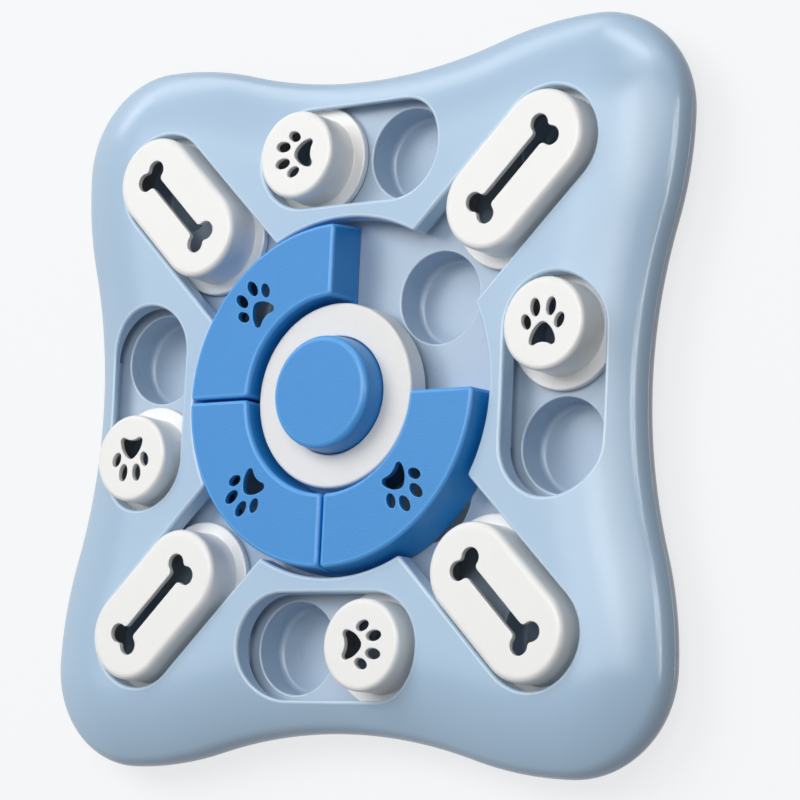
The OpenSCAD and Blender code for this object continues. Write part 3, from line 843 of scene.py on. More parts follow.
# %% Build the base tray
def add_cup(skin, place, radius, depth, hole_r):
    """A cup through the tray. Returns its loop in the tray's floor and that in the underside"""
    floor = TRAY_Z - depth
    foot = floor - CUP_WALL
    # the flat floor is closed from this radius in
    middle = radius - 8
    corners = [(radius + 0.8, TRAY_Z, 0), (radius, TRAY_Z, 0.6)]
    corners += [(radius, floor, 2.0), (middle, floor, 0)]
    mouth, bottom = skin.rise(circle(place, 96), rounded(corners, 6))
    outer = radius + CUP_WALL
    corners = [(outer + 0.5, PLATE_Z, 0), (outer, PLATE_Z, 0.3)]
    corners += [(outer, foot, 0.9), (middle, foot, 0)]
    plate, under = skin.rise(circle(place, 96), rounded(corners, 4))
    if hole_r:
        corners = [(hole_r + 0.4, floor, 0), (hole_r, floor, 0.3)]
        corners += [(hole_r, foot, 0.3), (hole_r + 0.4, foot, 0)]
        top, low = skin.rise(circle(place, 96), rounded(corners, 3))
        skin.band(bottom, top)
        skin.band(low, under)
    else:
        skin.pole(bottom, floor)
        skin.pole(under, foot)
    return mouth, plate


def make_base():
    """One skin: out over the tray's edge, down the step under the cover, round the rim and up
    behind it to the plate's underside, with the cups and the screw posts set into its fills"""
    skin = Skin()
    seat = [(-5.6, TRAY_Z), (-4.9, TRAY_Z), (-4.55, TRAY_Z - 0.15), (-4.3, TRAY_Z - 0.5)]
    wall = COVER_WALL + STEP_GAP
    step = [(-d, float(crown(d, wall))) for d in (4.0, 3.6, 3.2, 2.9, 2.7, wall)]
    seam = [(-wall, rim_z), (-SEAM, rim_z), (-0.1, rim_z - 0.1), (0, rim_z - SEAM)]
    low_rim = []
    for angle in range(6, 91, 7):
        u = polar(angle)
        low_rim.append((-LOW_RIM_R * (1 - u[0]), rim_z - LOW_RIM_R * u[1]))
    foot = [(-11.15, base_z), (-11.4, base_z + 0.1)]
    foot += [(-RIM_WALL, base_z + 0.4), (-RIM_WALL, base_z + 0.8)]
    plate = [(-RIM_WALL, PLATE_Z - 0.6), (-RIM_WALL, PLATE_Z - 0.35)]
    plate += [(-11.62, PLATE_Z - 0.1), (-11.9, PLATE_Z)]
    top, under = skin.rise(board_outline(), seat + step + seam + low_rim + foot + plate)
    mouths, plates = [], []
    cups = [(place, WELL_R, WELL_DEPTH, 0) for place in well_places()]
    cups.append(((0, 0), HUB_CUP_R, HUB_CUP_DEPTH, SOUND_R))
    for place, radius, depth, hole_r in cups:
        mouth, plate_loop = add_cup(skin, place, radius, depth, hole_r)
        mouths.append(mouth)
        plates.append(plate_loop)
    for place in post_places():
        corners = [(POST_R + 0.5, PLATE_Z, 0), (POST_R, PLATE_Z, 0.3)]
        corners += [(POST_R, POST_FOOT_Z, 0.4), (HEAD_HOLE_R, POST_FOOT_Z, 0.3)]
        corners += [(HEAD_HOLE_R, LEDGE_Z, 0.3), (2, LEDGE_Z, 0)]
        plate_loop, ledge = skin.rise(circle(place, 32), rounded(corners, 4))
        skin.pole(ledge, LEDGE_Z)
        plates.append(plate_loop)
    skin.fill(top, mouths)
    skin.fill(under, plates)
    replaced = ["base_rim", "tray_plate", "slot_wells", "channel_wells", "bulb_cup", "screw_posts"]
    put(skin.mesh("base_tray_shell", TRAY_ABS_SHADED), "housing", replaced)


make_base()

# %% [markdown]
# ## Cut-outs
# The paw print is four leaning ovals over a soft triangle, and the bone is four round lobes on a
# bar. Both are drawn as arcs that touch each other, so that their walls are smooth. They could be
# cut with Booleans, but as outlines they get the same soft edges as every other opening.

# %% Paw and bone outlines
def oval(x, y, along, across, tilt, steps=28):
    """An oval of two half widths, whose points grow square to its edge"""
    u = polar(np.linspace(0, 360, steps, endpoint=False))
    grows = u / np.array([along, across])
    grows /= np.linalg.norm(grows, axis=1)[:, None]
    return moved(turned((u * np.array([along, across]), grows), tilt), (x, y))


def bearing(start, stop):
    """Direction from one place to another, in degrees"""
    return math.degrees(math.atan2(stop[1] - start[1], stop[0] - start[0]))


def paw_pad():
    """The paw's main pad: a round top, bulging sides, two round corners and a hollow foot"""
    top_r, top = 2.7, np.array([-2.3, 0.0])
    corner_r, corner = 1.45, np.array([-6.3, 3.85])
    side_r = 9.0
    foot = np.array([-13.0, 0.0])
    foot_r = np.linalg.norm(corner - foot) - corner_r
    # the middle of the side arc lies side_r less their radius from both the top and the corner
    gap = corner - top
    span = np.linalg.norm(gap)
    from_top, from_corner = side_r - top_r, side_r - corner_r
    along = (from_top**2 - from_corner**2 + span**2) / (2 * span)
    aside = math.sqrt(from_top**2 - along**2)
    side = top + (gap * along - np.array([gap[1], -gap[0]]) * aside) / span
    to_top, to_corner, to_foot = bearing(side, top), bearing(side, corner), bearing(foot, corner)
    flip = np.array([1, -1])
    return outline(
        arc(top, top_r, -to_top, to_top, 14),
        arc(side, side_r, to_top, to_corner, 8),
        arc(corner, corner_r, to_corner, 180 + to_foot, 10),
        arc(foot, foot_r, to_foot, -to_foot, 12, grows=-1),
        arc(corner * flip, corner_r, 180 - to_foot, 360 - to_corner, 10),
        arc(side * flip, side_r, -to_corner, -to_top, 8),
    )


def paw():
    """Five outlines of a paw print with its toes along +X"""
    toes = [oval(5.6, 3.2 * s, 3.25, 1.95, 7 * s) for s in (-1, 1)]
    toes += [oval(0.6, 6.7 * s, 2.8, 1.85, 22 * s) for s in (-1, 1)]
    return [paw_pad(), *toes]


def bone():
    """One outline of a bone along X"""
    lobe_x, lobe_y, lobe_radius = 18.2, 3.3, 3.5
    notch_r, neck_r, bar = 1.5, 1.8, 2.3
    notch_x = lobe_x + math.sqrt((lobe_radius + notch_r) ** 2 - lobe_y**2)
    neck_y = bar + neck_r
    neck_x = lobe_x - math.sqrt((lobe_radius + neck_r) ** 2 - (neck_y - lobe_y) ** 2)
    to_notch = math.degrees(math.atan2(lobe_y, notch_x - lobe_x))
    to_neck = math.degrees(math.atan2(neck_y - lobe_y, neck_x - lobe_x))
    end = outline(
        arc((neck_x, -neck_y), neck_r, 90, 180 - to_neck, 6, grows=-1),
        arc((lobe_x, -lobe_y), lobe_radius, -to_neck, to_notch, 22),
        arc((notch_x, 0), notch_r, 180 + to_notch, 180 - to_notch, 6, grows=-1),
        arc((lobe_x, lobe_y), lobe_radius, -to_notch, to_neck, 22),
        arc((neck_x, neck_y), neck_r, to_neck - 180, -90, 6, grows=-1),
        run((neck_x, bar), (-neck_x, bar), 6),
    )
    return [outline(end, turned(end, 180))]


print("paw outlines:", len(paw()), "bone points:", len(bone()[0][0]))

# %% [markdown]
# ## Sliding caps
# A cap is a hollow hat with a wide thin brim. The brim runs under the cover and keeps the cap in
# its slot. The top has the cut-out, whose walls show how thick the plastic is. Eight linked copies
# would save memory, but each cap has to lie in its mesh where its own slider is, so a function
# builds every one in its place.

# %% Cap values
CAP_WALL = 2.1
# the brim floats a little over the tray and ends under the cover
BRIM_GAP = 0.3
BRIM_TOP = TRAY_Z + 2.9
BRIM_R = 21.4
# each cap: its radius and the round of its top; the bone cap is drawn out along the channel
PAW_CAP_R = 16.5
PAW_CAP_EDGE = 1.7
BONE_CAP_R = 17.1
BONE_CAP_EDGE = 2.2
BONE_CAP_HALF = 15.35
BONE_CAP_AT = 107.1

print("a paw cap is", 2 * PAW_CAP_R, "mm across, its brim", 2 * BRIM_R, "mm")


# %% Build the paw and bone caps
def hat(skin, shape, r, top, edge, cuts):
    """A hollow cap over a shape that grows to r, with a brim and cut-outs"""
    foot = TRAY_Z + BRIM_GAP
    inner = top - CAP_WALL
    inner_r = r - CAP_WALL
    corners = [(r - edge - 0.8, top, 0), (r, top, edge), (r, BRIM_TOP, 0.35)]
    corners += [(BRIM_R, BRIM_TOP, 0.7), (BRIM_R, foot, 0.35)]
    corners += [(inner_r, foot, 0.3), (inner_r, inner, 1.0), (inner_r - 2, inner, 0)]
    crown_loop, ceiling = skin.rise(shape, rounded(corners, 6))
    holes, inner_holes = [], []
    for cut in cuts:
        wall = [(0.55, top, 0), (0, top, 0.35), (0, inner, 0.2), (0.35, inner, 0)]
        first, last = skin.rise(cut, rounded(wall, 4))
        holes.append(first)
        inner_holes.append(last)
    skin.fill(crown_loop, holes)
    skin.fill(ceiling, inner_holes)


def make_cap(kind, side, place, shape, r, edge, cuts):
    """One cap over a shape at its place, with painted shade inside, on the slider of that side"""
    node = f"{kind}_slider_{side}"
    top = node_box(node)[1][2]
    skin = Skin()
    hat(skin, shape, r, top, edge, cuts)
    mesh = skin.mesh(f"{kind}_cap_{side}", CAP_ABS)
    # painted shade: the hollow under the cap takes the darker inside material
    paint_shade_inside(mesh, CAP_PAINTED_SHADE, place, top - CAP_WALL)
    put(mesh, f"{kind}_{side}", [node])


for q, side in enumerate("enws"):
    place = spun((SLOT_AT, PARK), 90 * q)
    cuts = [moved(turned(cut, 90 + 90 * q), place) for cut in paw()]
    make_cap("paw", side, place, circle(place, 96), PAW_CAP_R, PAW_CAP_EDGE, cuts)
for q, side in enumerate(("ne", "nw", "sw", "se")):
    turn = 45 + 90 * q
    place = BONE_CAP_AT * polar(turn)
    cuts = [moved(turned(cut, turn), place) for cut in bone()]
    shape = moved(turned(stadium(BONE_CAP_HALF, 40, 8), turn), place)
    make_cap("bone", side, place, shape, BONE_CAP_R, BONE_CAP_EDGE, cuts)

# %% [markdown]
# ## Ring covers
# Three quarter covers fill three quarters of a ring and leave one place free. Each is a hollow
# box with rounded edges; its outer wall leans out towards the foot, which lets it leave the mould.
# A whole ring could be cut into quarters, but its ends would then be sharp. Here the ends belong to
# the outline, so they are rounded with the rest, and each of its points has a lean of its own.

# %% Outline of a quarter cover
# outer and inner radius at the top, and half the split between two covers
RING_R = 63.0
RING_IN = 36.3
RING_SPLIT = 0.5
RING_WALL = 2.4
# how much wider the outer wall is at its foot
RING_LEAN = 2.1
# the round of the top, and that of the corners as seen from above
RING_EDGE = 1.3
RING_CORNER = 1.5
RING_PAW_AT = 49.2
# the brim that the collar holds down
RING_BRIM_IN = 28.5
RING_BRIM_OUT = RING_IN + 0.9
RING_BRIM_T = 2.7


def quarter_outline(wall, corner):
    """A quarter of a ring, moved in by a wall, and the way in which each of its points leans"""
    r_out, r_in, split = RING_R - wall, RING_IN + wall, RING_SPLIT + wall
    out_x = math.sqrt((r_out - corner) ** 2 - (split + corner) ** 2)
    in_x = math.sqrt((r_in + corner) ** 2 - (split + corner) ** 2)
    out_a = math.degrees(math.atan2(split + corner, out_x))
    in_a = math.degrees(math.atan2(split + corner, in_x))
    outside = arc((0, 0), r_out, out_a, 90 - out_a, 48)
    parts = [
        run((in_x, split), (out_x, split), 10),
        arc((out_x, split + corner), corner, -90, out_a, 8),
        outside,
        arc((split + corner, out_x), corner, 90 - out_a, 180, 8),
        run((split, out_x), (split, in_x), 10),
        arc((split + corner, in_x), corner, 180, 270 - in_a, 8),
        arc((0, 0), r_in, 90 - in_a, in_a, 32, grows=-1),
        arc((in_x, split + corner), corner, 180 + in_a, 270, 8),
    ]
    # the end faces only stretch, so their lean grows from nothing at the inner corner
    reach = np.linspace(0, 1, 10)[:, None]
    still = np.zeros((8, 2))
    leans = [
        reach * np.array([1.0, 0.0]),
        still + (1, 0),
        outside[1],
        still + (0, 1),
        (1 - reach) * np.array([0.0, 1.0]),
        still,
        np.zeros((32, 2)),
        still,
    ]
    return outline(*parts), np.concatenate(leans)


def low_brim():
    """The thin quarter that runs under the collar. The split lies about one degree inside a
    quarter turn at these radii, so that is where the arcs start and end"""
    return outline(
        run((RING_BRIM_IN, RING_SPLIT), (RING_BRIM_OUT, RING_SPLIT), 2),
        arc((0, 0), RING_BRIM_OUT, 0.8, 89.2, 30),
        run((RING_SPLIT, RING_BRIM_OUT), (RING_SPLIT, RING_BRIM_IN), 2),
        arc((0, 0), RING_BRIM_IN, 89, 1, 30, grows=-1),
    )


print("a quarter cover's outline has", len(quarter_outline(0, RING_CORNER)[1]), "points")


# %% Build the ring covers
def make_ring_cover(side, q):
    """The quarter cover of one side, turned q quarters on from +X"""
    node = f"ring_segment_{side}"
    foot, top = node_box(node)[0][2], node_box(node)[1][2]
    bend = top - RING_EDGE
    inner = top - RING_WALL
    skin = Skin()

    def rise_quarter(wall, corner, profile):
        shape, lean = quarter_outline(wall, corner)
        lean = turned((lean, lean), 90 * q)[0]

        def leaning(height):
            return lean * RING_LEAN * np.clip((bend - height) / (bend - foot), 0, 1)

        return skin.rise(turned(shape, 90 * q), profile, leaning)

    outer = [(-RING_EDGE - 0.19, top, 0), (0, top, RING_EDGE), (0, foot, 0.4), (-0.8, foot, 0)]
    hollow = [(0.8, foot, 0), (0, foot, 0.3), (0, inner, 0.8), (-0.9, inner, 0)]
    crown_loop, outer_foot = rise_quarter(0, RING_CORNER, rounded(outer, 6))
    inner_foot, ceiling = rise_quarter(RING_WALL, 1.0, rounded(hollow, 4))
    skin.band(outer_foot, inner_foot)
    holes, inner_holes = [], []
    for cut in paw():
        cut = turned(moved(cut, (RING_PAW_AT, 0)), 45 + 90 * q)
        wall = [(0.5, top, 0), (0, top, 0.3), (0, inner, 0.2), (0.35, inner, 0)]
        first, last = skin.rise(cut, rounded(wall, 4))
        holes.append(first)
        inner_holes.append(last)
    skin.fill(crown_loop, holes)
    skin.fill(ceiling, inner_holes)
    low, high = skin.rise(turned(low_brim(), 90 * q), [(0, foot), (0, foot + RING_BRIM_T)])
    skin.fill(low)
    skin.fill(high)
    mesh = skin.mesh(f"ring_cover_{side}", RING_ABS)
    # painted shade: the hollow under the cover takes the dark navy inside material
    paint_shade_inside(mesh, RING_PAINTED_SHADE, (RING_IN + RING_R) / 2 * polar(45 + 90 * q), inner)
    put(mesh, f"ring_{side}", [node])


for q, side in ((1, "nw"), (2, "sw"), (3, "se")):
    make_ring_cover(side, q)

# %% [markdown]
# ## Hub
# The collar holds the ring down, the button presses on a soft bulb, and air from the bulb sounds a
# reed in its foot. All are round, so each is one profile carried round an axis. A Screw modifier
# could turn the profiles as well, but the skin builder closes them and marks the edges for the
# painted highlight.

# %% Collar and button
def lathe(name, profile, material, body, node, steps, ends=None):
    """A round piece: its profile is closed at the heights of its two ends, or joined to itself"""
    skin = Skin()
    loops = skin.rise(circle((0, 0), steps), profile, close=ends is None)
    for loop, end in zip(loops, ends or ()):
        skin.pole(loop, end)
    put(skin.mesh(name, material), body, [node])


def make_collar():
    """A hollow white ring whose tube stands on the tray; the button's flange is held in it"""
    top = node_box("hub_collar")[1][2]
    bore, counter, tube, collar_r, wall = 21.7, 23.7, 28.2, 34.0, 2.4
    lip = TRAY_Z + 3.6
    shelf = TRAY_Z + 7
    inner_r, inner = collar_r - wall, top - wall
    # the profile starts and ends on the bore, where the wall is straight
    corners = [(bore, top - 4, 0), (bore, top, 0.6), (collar_r, top, 1.1)]
    corners += [(collar_r, lip, 0.4), (inner_r, lip, 0.4), (inner_r, inner, 0.6)]
    corners += [(tube, inner, 0.6), (tube, TRAY_Z, 0.3), (counter, TRAY_Z, 0.3)]
    corners += [(counter, shelf, 0.3), (bore, shelf, 0.3), (bore, top - 4.1, 0)]
    path = rounded(corners, 6)
    lathe("collar", path, COLLAR_ABS, "housing", "hub_collar", 128)


def make_button():
    """A hollow blue button with a draft, a soft shoulder and a flange under the collar"""
    low, high = node_box("squeaker_button")
    flange_r = high[0]
    flange_top = TRAY_Z + 6.7
    mid = 21.4
    rim = mid - 0.9
    wall = 2.2
    inner_r, inner = rim - wall, high[2] - wall
    stem_r, stem_foot = 8, TRAY_Z + 8
    # the first and the last corner lie on flats, which are closed by fans
    corners = [(10, high[2], 0), (rim, high[2], 2.4), (mid, TRAY_Z + 13.5, 6)]
    corners += [(mid, flange_top, 0.2), (flange_r, flange_top, 0.3), (flange_r, low[2], 0.3)]
    corners += [(inner_r, low[2], 0.3), (inner_r, inner, 1), (stem_r, inner, 0.5)]
    corners += [(stem_r, stem_foot, 0.4), (5, stem_foot, 0)]
    path = rounded(corners, 7)
    ends = (high[2], stem_foot)
    lathe("button", path, RING_ABS, "button", "squeaker_button", 128, ends)


make_collar()
make_button()


# %% Bulb
def make_bulb():
    """A bellows of three folds, open at the foot round the reed"""
    low, high = node_box("squeaker_bulb")
    r, mouth_r, wall, folds = high[0], 4.0, 1.4, 3
    waist = r - 2.6
    height = high[2] - low[2]
    step = (height - 4) / folds
    outer = [(mouth_r, low[2], 0), (r, low[2], 0.4)]
    for i in range(folds):
        z = low[2] + 2 + i * step
        outer += [(waist, z, 0.5), (r, z + step / 2, 0.8)]
    outer += [(waist, high[2] - 2, 0.5), (waist - 1.5, high[2], 0.6), (3, high[2], 0)]
    path = rounded(outer, 4)
    skin = Skin()
    shape = circle((0, 0), 64)
    foot, top = skin.rise(shape, path)
    skin.pole(top, high[2])
    floor, ceiling = low[2] + wall, high[2] - wall
    inner = [(max(x - wall, mouth_r), min(max(z, floor), ceiling)) for x, z in path[1:-1]]
    inner_foot, inner_top = skin.rise(shape, inner)
    skin.pole(inner_top, ceiling)
    skin.band(foot, inner_foot)
    bulb = put(skin.mesh("bulb", VINYL), "housing", ["squeaker_bulb"])
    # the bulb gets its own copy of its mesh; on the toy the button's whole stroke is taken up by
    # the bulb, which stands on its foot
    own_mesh(bulb)


make_bulb()

# %% [markdown]
# ## Reed
# The whistle in the bulb's foot is a short tube with a small hole in its top.

# %% Build the reed
def make_reed():
    """A short tube, closed at the top but for the hole"""
    low, high = node_box("squeaker_reed")
    r = high[0]
    hole_r, wall = 1.2, 1
    corners = [(hole_r, high[2], 0), (r, high[2], 0.4), (r, low[2], 0.3)]
    corners += [(r - wall, low[2], 0.2), (r - wall, high[2] - wall, 0.2)]
    corners += [(hole_r, high[2] - wall, 0)]
    path = rounded(corners, 3)
    lathe("reed", path, CAP_ABS, "housing", "squeaker_reed", 40)


make_reed()

# %% [markdown]
# ## Screws, ribs and feet
# Twelve screws hold the two shells together and four hold the hub. Ribs stiffen the tray from
# below, low bars on it guide the brims of the sliders, and four pads carry the toy. These repeat,
# so a Geometry Nodes tree sets one of them on each point of a list, and the result is turned into
# a plain mesh. A point carries its own turn and length; width and height are inputs of the tree.

# %% A tree that repeats a piece
def repeat_tree(name):
    """Sets a piece on each point, turned and lengthened by the point's own numbers"""
    tree = bpy.data.node_groups.new(name, "GeometryNodeTree")
    sockets = (("Piece", "Object"), ("Finish", "Material"), ("Width", "Float"), ("Height", "Float"))
    tree.interface.new_socket("Geometry", in_out="INPUT", socket_type="NodeSocketGeometry")
    for label, kind in sockets:
        tree.interface.new_socket(label, in_out="INPUT", socket_type="NodeSocket" + kind)
    tree.interface.new_socket("Geometry", in_out="OUTPUT", socket_type="NodeSocketGeometry")
    given = tree.nodes.new("NodeGroupInput").outputs
    pattern = add(tree, "GeometryNodeObjectInfo", Object=given["Piece"])
    turn = add(tree, "GeometryNodeInputNamedAttribute", {"data_type": "FLOAT"}, Name="turn")
    length = add(tree, "GeometryNodeInputNamedAttribute", {"data_type": "FLOAT"}, Name="length")
    spin = add(tree, "ShaderNodeCombineXYZ", Z=turn.outputs[0])
    long = length.outputs[0]
    size = add(tree, "ShaderNodeCombineXYZ", X=long, Y=given["Width"], Z=given["Height"])
    copies = add(
        tree,
        "GeometryNodeInstanceOnPoints",
        Points=given["Geometry"],
        Instance=pattern.outputs["Geometry"],
        Rotation=spin.outputs[0],
        Scale=size.outputs[0],
    )
    real = add(tree, "GeometryNodeRealizeInstances", Geometry=copies.outputs[0]).outputs[0]
    dressed = add(tree, "GeometryNodeSetMaterial", Geometry=real, Material=given["Finish"])
    out = tree.nodes.new("NodeGroupOutput")
    tree.links.new(dressed.outputs[0], out.inputs[0])
    return tree


REPEAT = repeat_tree("repeat_a_piece")
print("the repeat tree has", len(REPEAT.nodes), "nodes")


# %% Use the tree
def repeated(name, pattern, spots, material, width=1.0, height=1.0):
    """Sets copies of a pattern mesh on (place, turn, length) spots and returns one plain mesh"""
    points = bpy.data.meshes.new(name + "_spots")
    points.from_pydata([tuple(np.array(place) * MM) for place, _, _ in spots], [], [])
    turns = points.attributes.new("turn", "FLOAT", "POINT")
    lengths = points.attributes.new("length", "FLOAT", "POINT")
    for i, (_, turn, length) in enumerate(spots):
        turns.data[i].value = math.radians(turn)
        lengths.data[i].value = length
    carrier = bpy.data.objects.new(name + "_spots", points)
    sample = bpy.data.objects.new(name + "_pattern", pattern)
    for thing in (carrier, sample):
        bpy.context.scene.collection.objects.link(thing)
    modifier = carrier.modifiers.new("repeat", "NODES")
    modifier.node_group = REPEAT
    inputs = {"Piece": sample, "Finish": material, "Width": width, "Height": height}
    for socket in REPEAT.interface.items_tree:
        if socket.in_out == "INPUT" and socket.name in inputs:
            modifier[socket.identifier] = inputs[socket.name]
    view = bpy.context.evaluated_depsgraph_get()
    mesh = bpy.data.meshes.new_from_object(carrier.evaluated_get(view))
    carrier.modifiers.remove(modifier)
    for thing in (carrier, sample):
        bpy.data.objects.remove(thing)
    mesh.name = name
    print(f"{name}: {len(spots)} copies, {len(mesh.polygons)} faces")
    return mesh


sockets = [socket.name for socket in REPEAT.interface.items_tree if socket.in_out == "INPUT"]
print("its inputs:", ", ".join(sockets))


# %% Screws
def polygon(*corners):
    """A closed outline of straight sides"""
    return outline(*[run(a, b, 1) for a, b in zip(corners, corners[1:] + corners[:1])])


def screw_pattern(shank_r, head_r, length):
    """A screw with its head down, the seat of the head at the origin and a cross cut into it"""
    skin = Skin()
    head_t = 2.0
    arm, half = head_r * 0.6, 0.35
    arms = [(-arm, -half), (-half, -half), (-half, -arm), (half, -arm), (half, -half), (arm, -half)]
    cross = polygon(*arms, *[(-x, -y) for x, y in arms])
    face, bottom = skin.rise(cross, [(0, -head_t), (0, -head_t * 0.45)])
    skin.fill(bottom)
    head = [(head_r * 0.72, -head_t, 0), (head_r, -head_t, 0.7), (head_r, 0, 0.15)]
    shank = [(shank_r, 0, 0.1), (shank_r, length, 0.5), (0.4, length, 0)]
    rim, tip = skin.rise(circle((0, 0), 32), rounded(head + shank, 3))
    skin.fill(rim, [face])
    skin.pole(tip, length)
    return skin.mesh("screw_pattern", sharp=30)


def make_screws():
    """Twelve screws in the posts and four under the hub"""
    # a driver leaves each cross at another angle: the turns go up by 37 and by 53 degrees
    spots = [((*place, LEDGE_Z), 37 * i, 1) for i, place in enumerate(post_places())]
    length = node_box("cover_screws")[1][2] - LEDGE_Z
    mesh = repeated("cover_screw_set", screw_pattern(1.5, 2.8, length), spots, ZINC)
    put(mesh, "housing", ["cover_screws"])
    hub_screw_at = 25.95
    spots = [((*(hub_screw_at * polar(22.5 + 90 * q)), PLATE_Z), 53 * q, 1) for q in range(4)]
    length = node_box("hub_screws")[1][2] - PLATE_Z
    mesh = repeated("hub_screw_set", screw_pattern(1.1, 2.4, length), spots, ZINC)
    put(mesh, "housing", ["hub_screws"])


make_screws()


# %% Ribs under the tray and guide bars on it
def bar_pattern():
    """A unit bar along X whose top lies at the origin"""
    skin = Skin()
    low, high = skin.rise(polygon((0, -0.5), (1, -0.5), (1, 0.5), (0, 0.5)), [(0, -1), (0, 0)])
    skin.fill(low)
    skin.fill(high)
    return skin.mesh("bar_pattern")


def bars(name, spans, top, width, height, node):
    """Bars of (turn, start, stop, aside), in each quarter: aside is the place across the bar"""
    spots = []
    for q in range(4):
        for turn, start, stop, aside in spans:
            place = spun((start, aside), turn + 90 * q)
            spots.append(((*place, top), turn + 90 * q, stop - start))
    mesh = repeated(name, bar_pattern(), spots, TRAY_ABS_SHADED, width, height)
    put(mesh, "housing", [node])


def make_ribs():
    """Ribs from the hub's cup to the rim and between the cups, let into what they meet"""
    dip, width, height = 0.3, 1.8, 8
    wall_x = board_w / 2 - SIDE_DIP - RIM_WALL
    corner_x = lobe_at * math.sqrt(2) + lobe_r - RIM_WALL
    cup, hub = WELL_R + CUP_WALL, HUB_CUP_R + CUP_WALL
    post = POST_CORNER * math.sqrt(2)
    spans = [(0, hub, wall_x), (45, hub, RING_WELL_AT - cup)]
    spans += [(45, RING_WELL_AT + cup, BONE_WELL_AT - cup)]
    spans += [(45, BONE_WELL_AT + cup, post - POST_R), (45, post + POST_R, corner_x)]
    spans = [(turn, start - dip, stop + dip, 0) for turn, start, stop in spans]
    bars("tray_rib_set", spans, PLATE_Z + dip, width, height + dip, "tray_ribs")


def make_guides():
    """Low bars beside the brims of the caps and behind them"""
    top = node_box("guide_ribs")[1][2]
    width, brim_at, end_half, channel_start = 1.6, 21.7, 5.0, 64.08
    clear = brim_at + width / 2
    spans = []
    for side in (-1, 1):
        spans.append((45, channel_start, CHANNEL_END, side * clear))
        spans.append((90, -PARK, PARK, side * clear - SLOT_AT))
        spans.append((0, SLOT_AT - end_half, SLOT_AT + end_half, side * (PARK + clear)))
    spans.append((135, -end_half, end_half, -CHANNEL_END - clear))
    bars("guide_bar_set", spans, top, width, top - TRAY_Z + 0.1, "guide_ribs")


make_ribs()
make_guides()


# %% Foot pads
def make_feet():
    """Four round pads, one under each lobe"""
    low, high = node_box("foot_ne")
    place = (low + high)[:2] / 2
    r = (high[0] - low[0]) / 2
    skin = Skin()
    side = [(r - 1, high[2], 0), (r, high[2], 0.3), (r, low[2], 1.0), (r - 2, low[2], 0)]
    top, foot = skin.rise(circle((0, 0), 48), rounded(side, 5))
    skin.pole(top, high[2])
    skin.pole(foot, low[2])
    spots = [((*spun(place, 90 * q), 0), 0, 1) for q in range(4)]
    mesh = repeated("foot_pad_set", skin.mesh("foot_pattern"), spots, RUBBER)
    feet = [f"foot_{corner}" for corner in ("ne", "nw", "sw", "se")]
    put(mesh, "housing", feet)


make_feet()


# %% [markdown]
# ## Floor and light
# The toy lies on a plain white floor, which shows white to the camera and keeps the toy's shadow.
# As the camera sees the board, the main lamp is a large soft one at the upper left, and a smaller
# one at the upper right fills the shadows. Satin plastic also mirrors what stands round it, so
# panels and strips that only shine are set up like a studio's reflectors: they draw the bright
# bands on the lobes and the thin line along the rim, and leave the colours alone. One large lamp
# could do both, but then the highlights couldn't be placed without moving the shadows. The
# Standard view transform shows a colour about as it is written.

# %% Floor and world
def seen_rays(tree):
    """One for the rays that show the background: straight, mirrored or passed through"""
    path = add(tree, "ShaderNodeLightPath").outputs
    seen = path["Is Camera Ray"]
    larger = {"operation": "MAXIMUM"}
    for kind in ("Is Glossy Ray", "Is Transmission Ray"):
        seen = add(tree, "ShaderNodeMath", larger, _0=seen, _1=path[kind]).outputs[0]
    return seen


def make_floor():
    """A square of white paper under the toy; half its width is in metres"""
    half = 6.0
    corners = [(-half, -half, 0), (half, -half, 0), (half, half, 0), (-half, half, 0)]
    mesh = bpy.data.meshes.new("floor")
    mesh.from_pydata(corners, [], [(0, 1, 2, 3)])
    floor = bpy.data.objects.new("floor", mesh)
    bpy.context.scene.collection.objects.link(floor)
    # grey paper takes the shadow and little light comes back from it; the glow that makes it
    # white is there only for the rays that show the background
    material, tree = new_material("white_floor")
    paper = add(tree, "ShaderNodeBsdfDiffuse", Color=linear("#77787b"))
    glow = add(tree, "ShaderNodeEmission", Color=(0.99, 0.995, 1.0, 1), Strength=0.77)
    dark = add(tree, "ShaderNodeEmission", Color=(0, 0, 0, 1), Strength=0.0)
    seen = seen_rays(tree)
    extra = add(tree, "ShaderNodeMixShader", _0=seen, _1=dark.outputs[0], _2=glow.outputs[0])
    both = add(tree, "ShaderNodeAddShader", _0=paper.outputs[0], _1=extra.outputs[0])
    add(tree, "ShaderNodeOutputMaterial", Surface=both.outputs[0])
    mesh.materials.append(material)


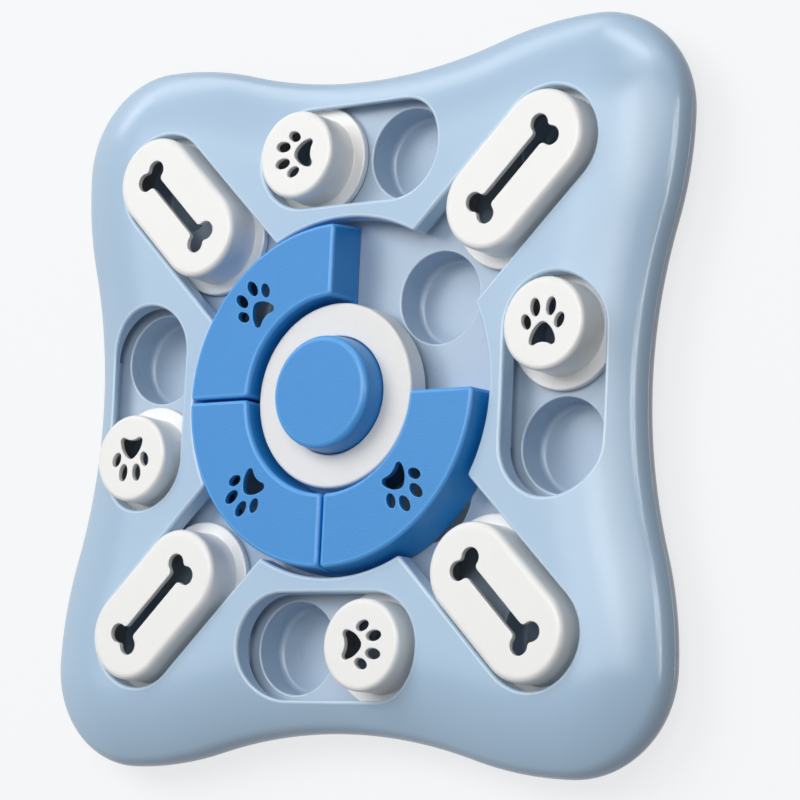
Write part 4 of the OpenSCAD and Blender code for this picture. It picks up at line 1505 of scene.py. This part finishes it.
def make_world():
    """A dim even room, seen as plain white"""
    world = bpy.data.worlds.new("studio")
    bpy.context.scene.world = world
    world.use_nodes = True
    tree = world.node_tree
    tree.nodes.clear()
    room = add(tree, "ShaderNodeBackground", Color=(0.98, 0.985, 1.0, 1), Strength=0.25)
    white = add(tree, "ShaderNodeBackground", Color=(1, 1, 1, 1), Strength=1.0)
    seen = seen_rays(tree)
    mix = add(tree, "ShaderNodeMixShader", _0=seen, _1=room.outputs[0], _2=white.outputs[0])
    add(tree, "ShaderNodeOutputWorld", Surface=mix.outputs[0])


make_floor()
make_world()


# %% Lamps
def softbox(name, at, size, power, lights=True, shines=True, tilt=0):
    """A rectangular lamp that faces the board, at (azimuth, elevation, metres away) and of (width,
    height) metres, tilted about its own axis. With lights off it only shines in the gloss, and
    with shines off it only lights the colours"""
    azimuth, elevation, distance = at
    data = bpy.data.lights.new(name, "AREA")
    data.shape = "RECTANGLE"
    data.size, data.size_y = size
    data.energy = power
    lamp = bpy.data.objects.new(name, data)
    away = direction(azimuth, elevation)
    lamp.location = away * distance
    lamp.rotation_mode = "QUATERNION"
    facing = away.to_track_quat("Z", "Y")
    lamp.rotation_quaternion = facing @ Quaternion((0, 0, 1), math.radians(tilt))
    lamp.visible_diffuse = lights
    lamp.visible_glossy = shines
    bpy.context.scene.collection.objects.link(lamp)


# the main lamp leaves no highlight; the bands on the lobes come from the others
softbox("key", (228, 50, 2.6), (1.6, 1.6), 38, shines=False)
softbox("fill", (135, 66, 2.2), (1.1, 1.1), 13)
# overhead, and opposite the camera for the flat tops
softbox("ceiling", (195, 79, 2.2), (1.5, 1.0), 17, lights=False)
softbox("sheen", (256, 52, 2.2), (1.6, 1.2), 8, lights=False)
# low beyond the back left lobe, for the rim there
softbox("back_strip", (220, 14, 2.0), (1.6, 0.3), 6, lights=False)
# the crescent on the back right lobe and the paler ground round it
softbox("lobe_arc", (180, 33, 1.8), (1.1, 0.05), 5, lights=False, tilt=-32)
softbox("lobe_glow", (168, 42, 1.8), (0.7, 0.6), 3, lights=False)
# the thin line along the right rim, brightest at its waist
softbox("rim_strip", (98, 29, 1.5), (0.8, 0.1), 4.5, lights=False)
softbox("waist_strip", (104, 41, 1.5), (0.3, 0.1), 2, lights=False)
print("lamps:", sorted(lamp.name for lamp in bpy.data.lights))
bpy.context.scene.view_settings.view_transform = "Standard"
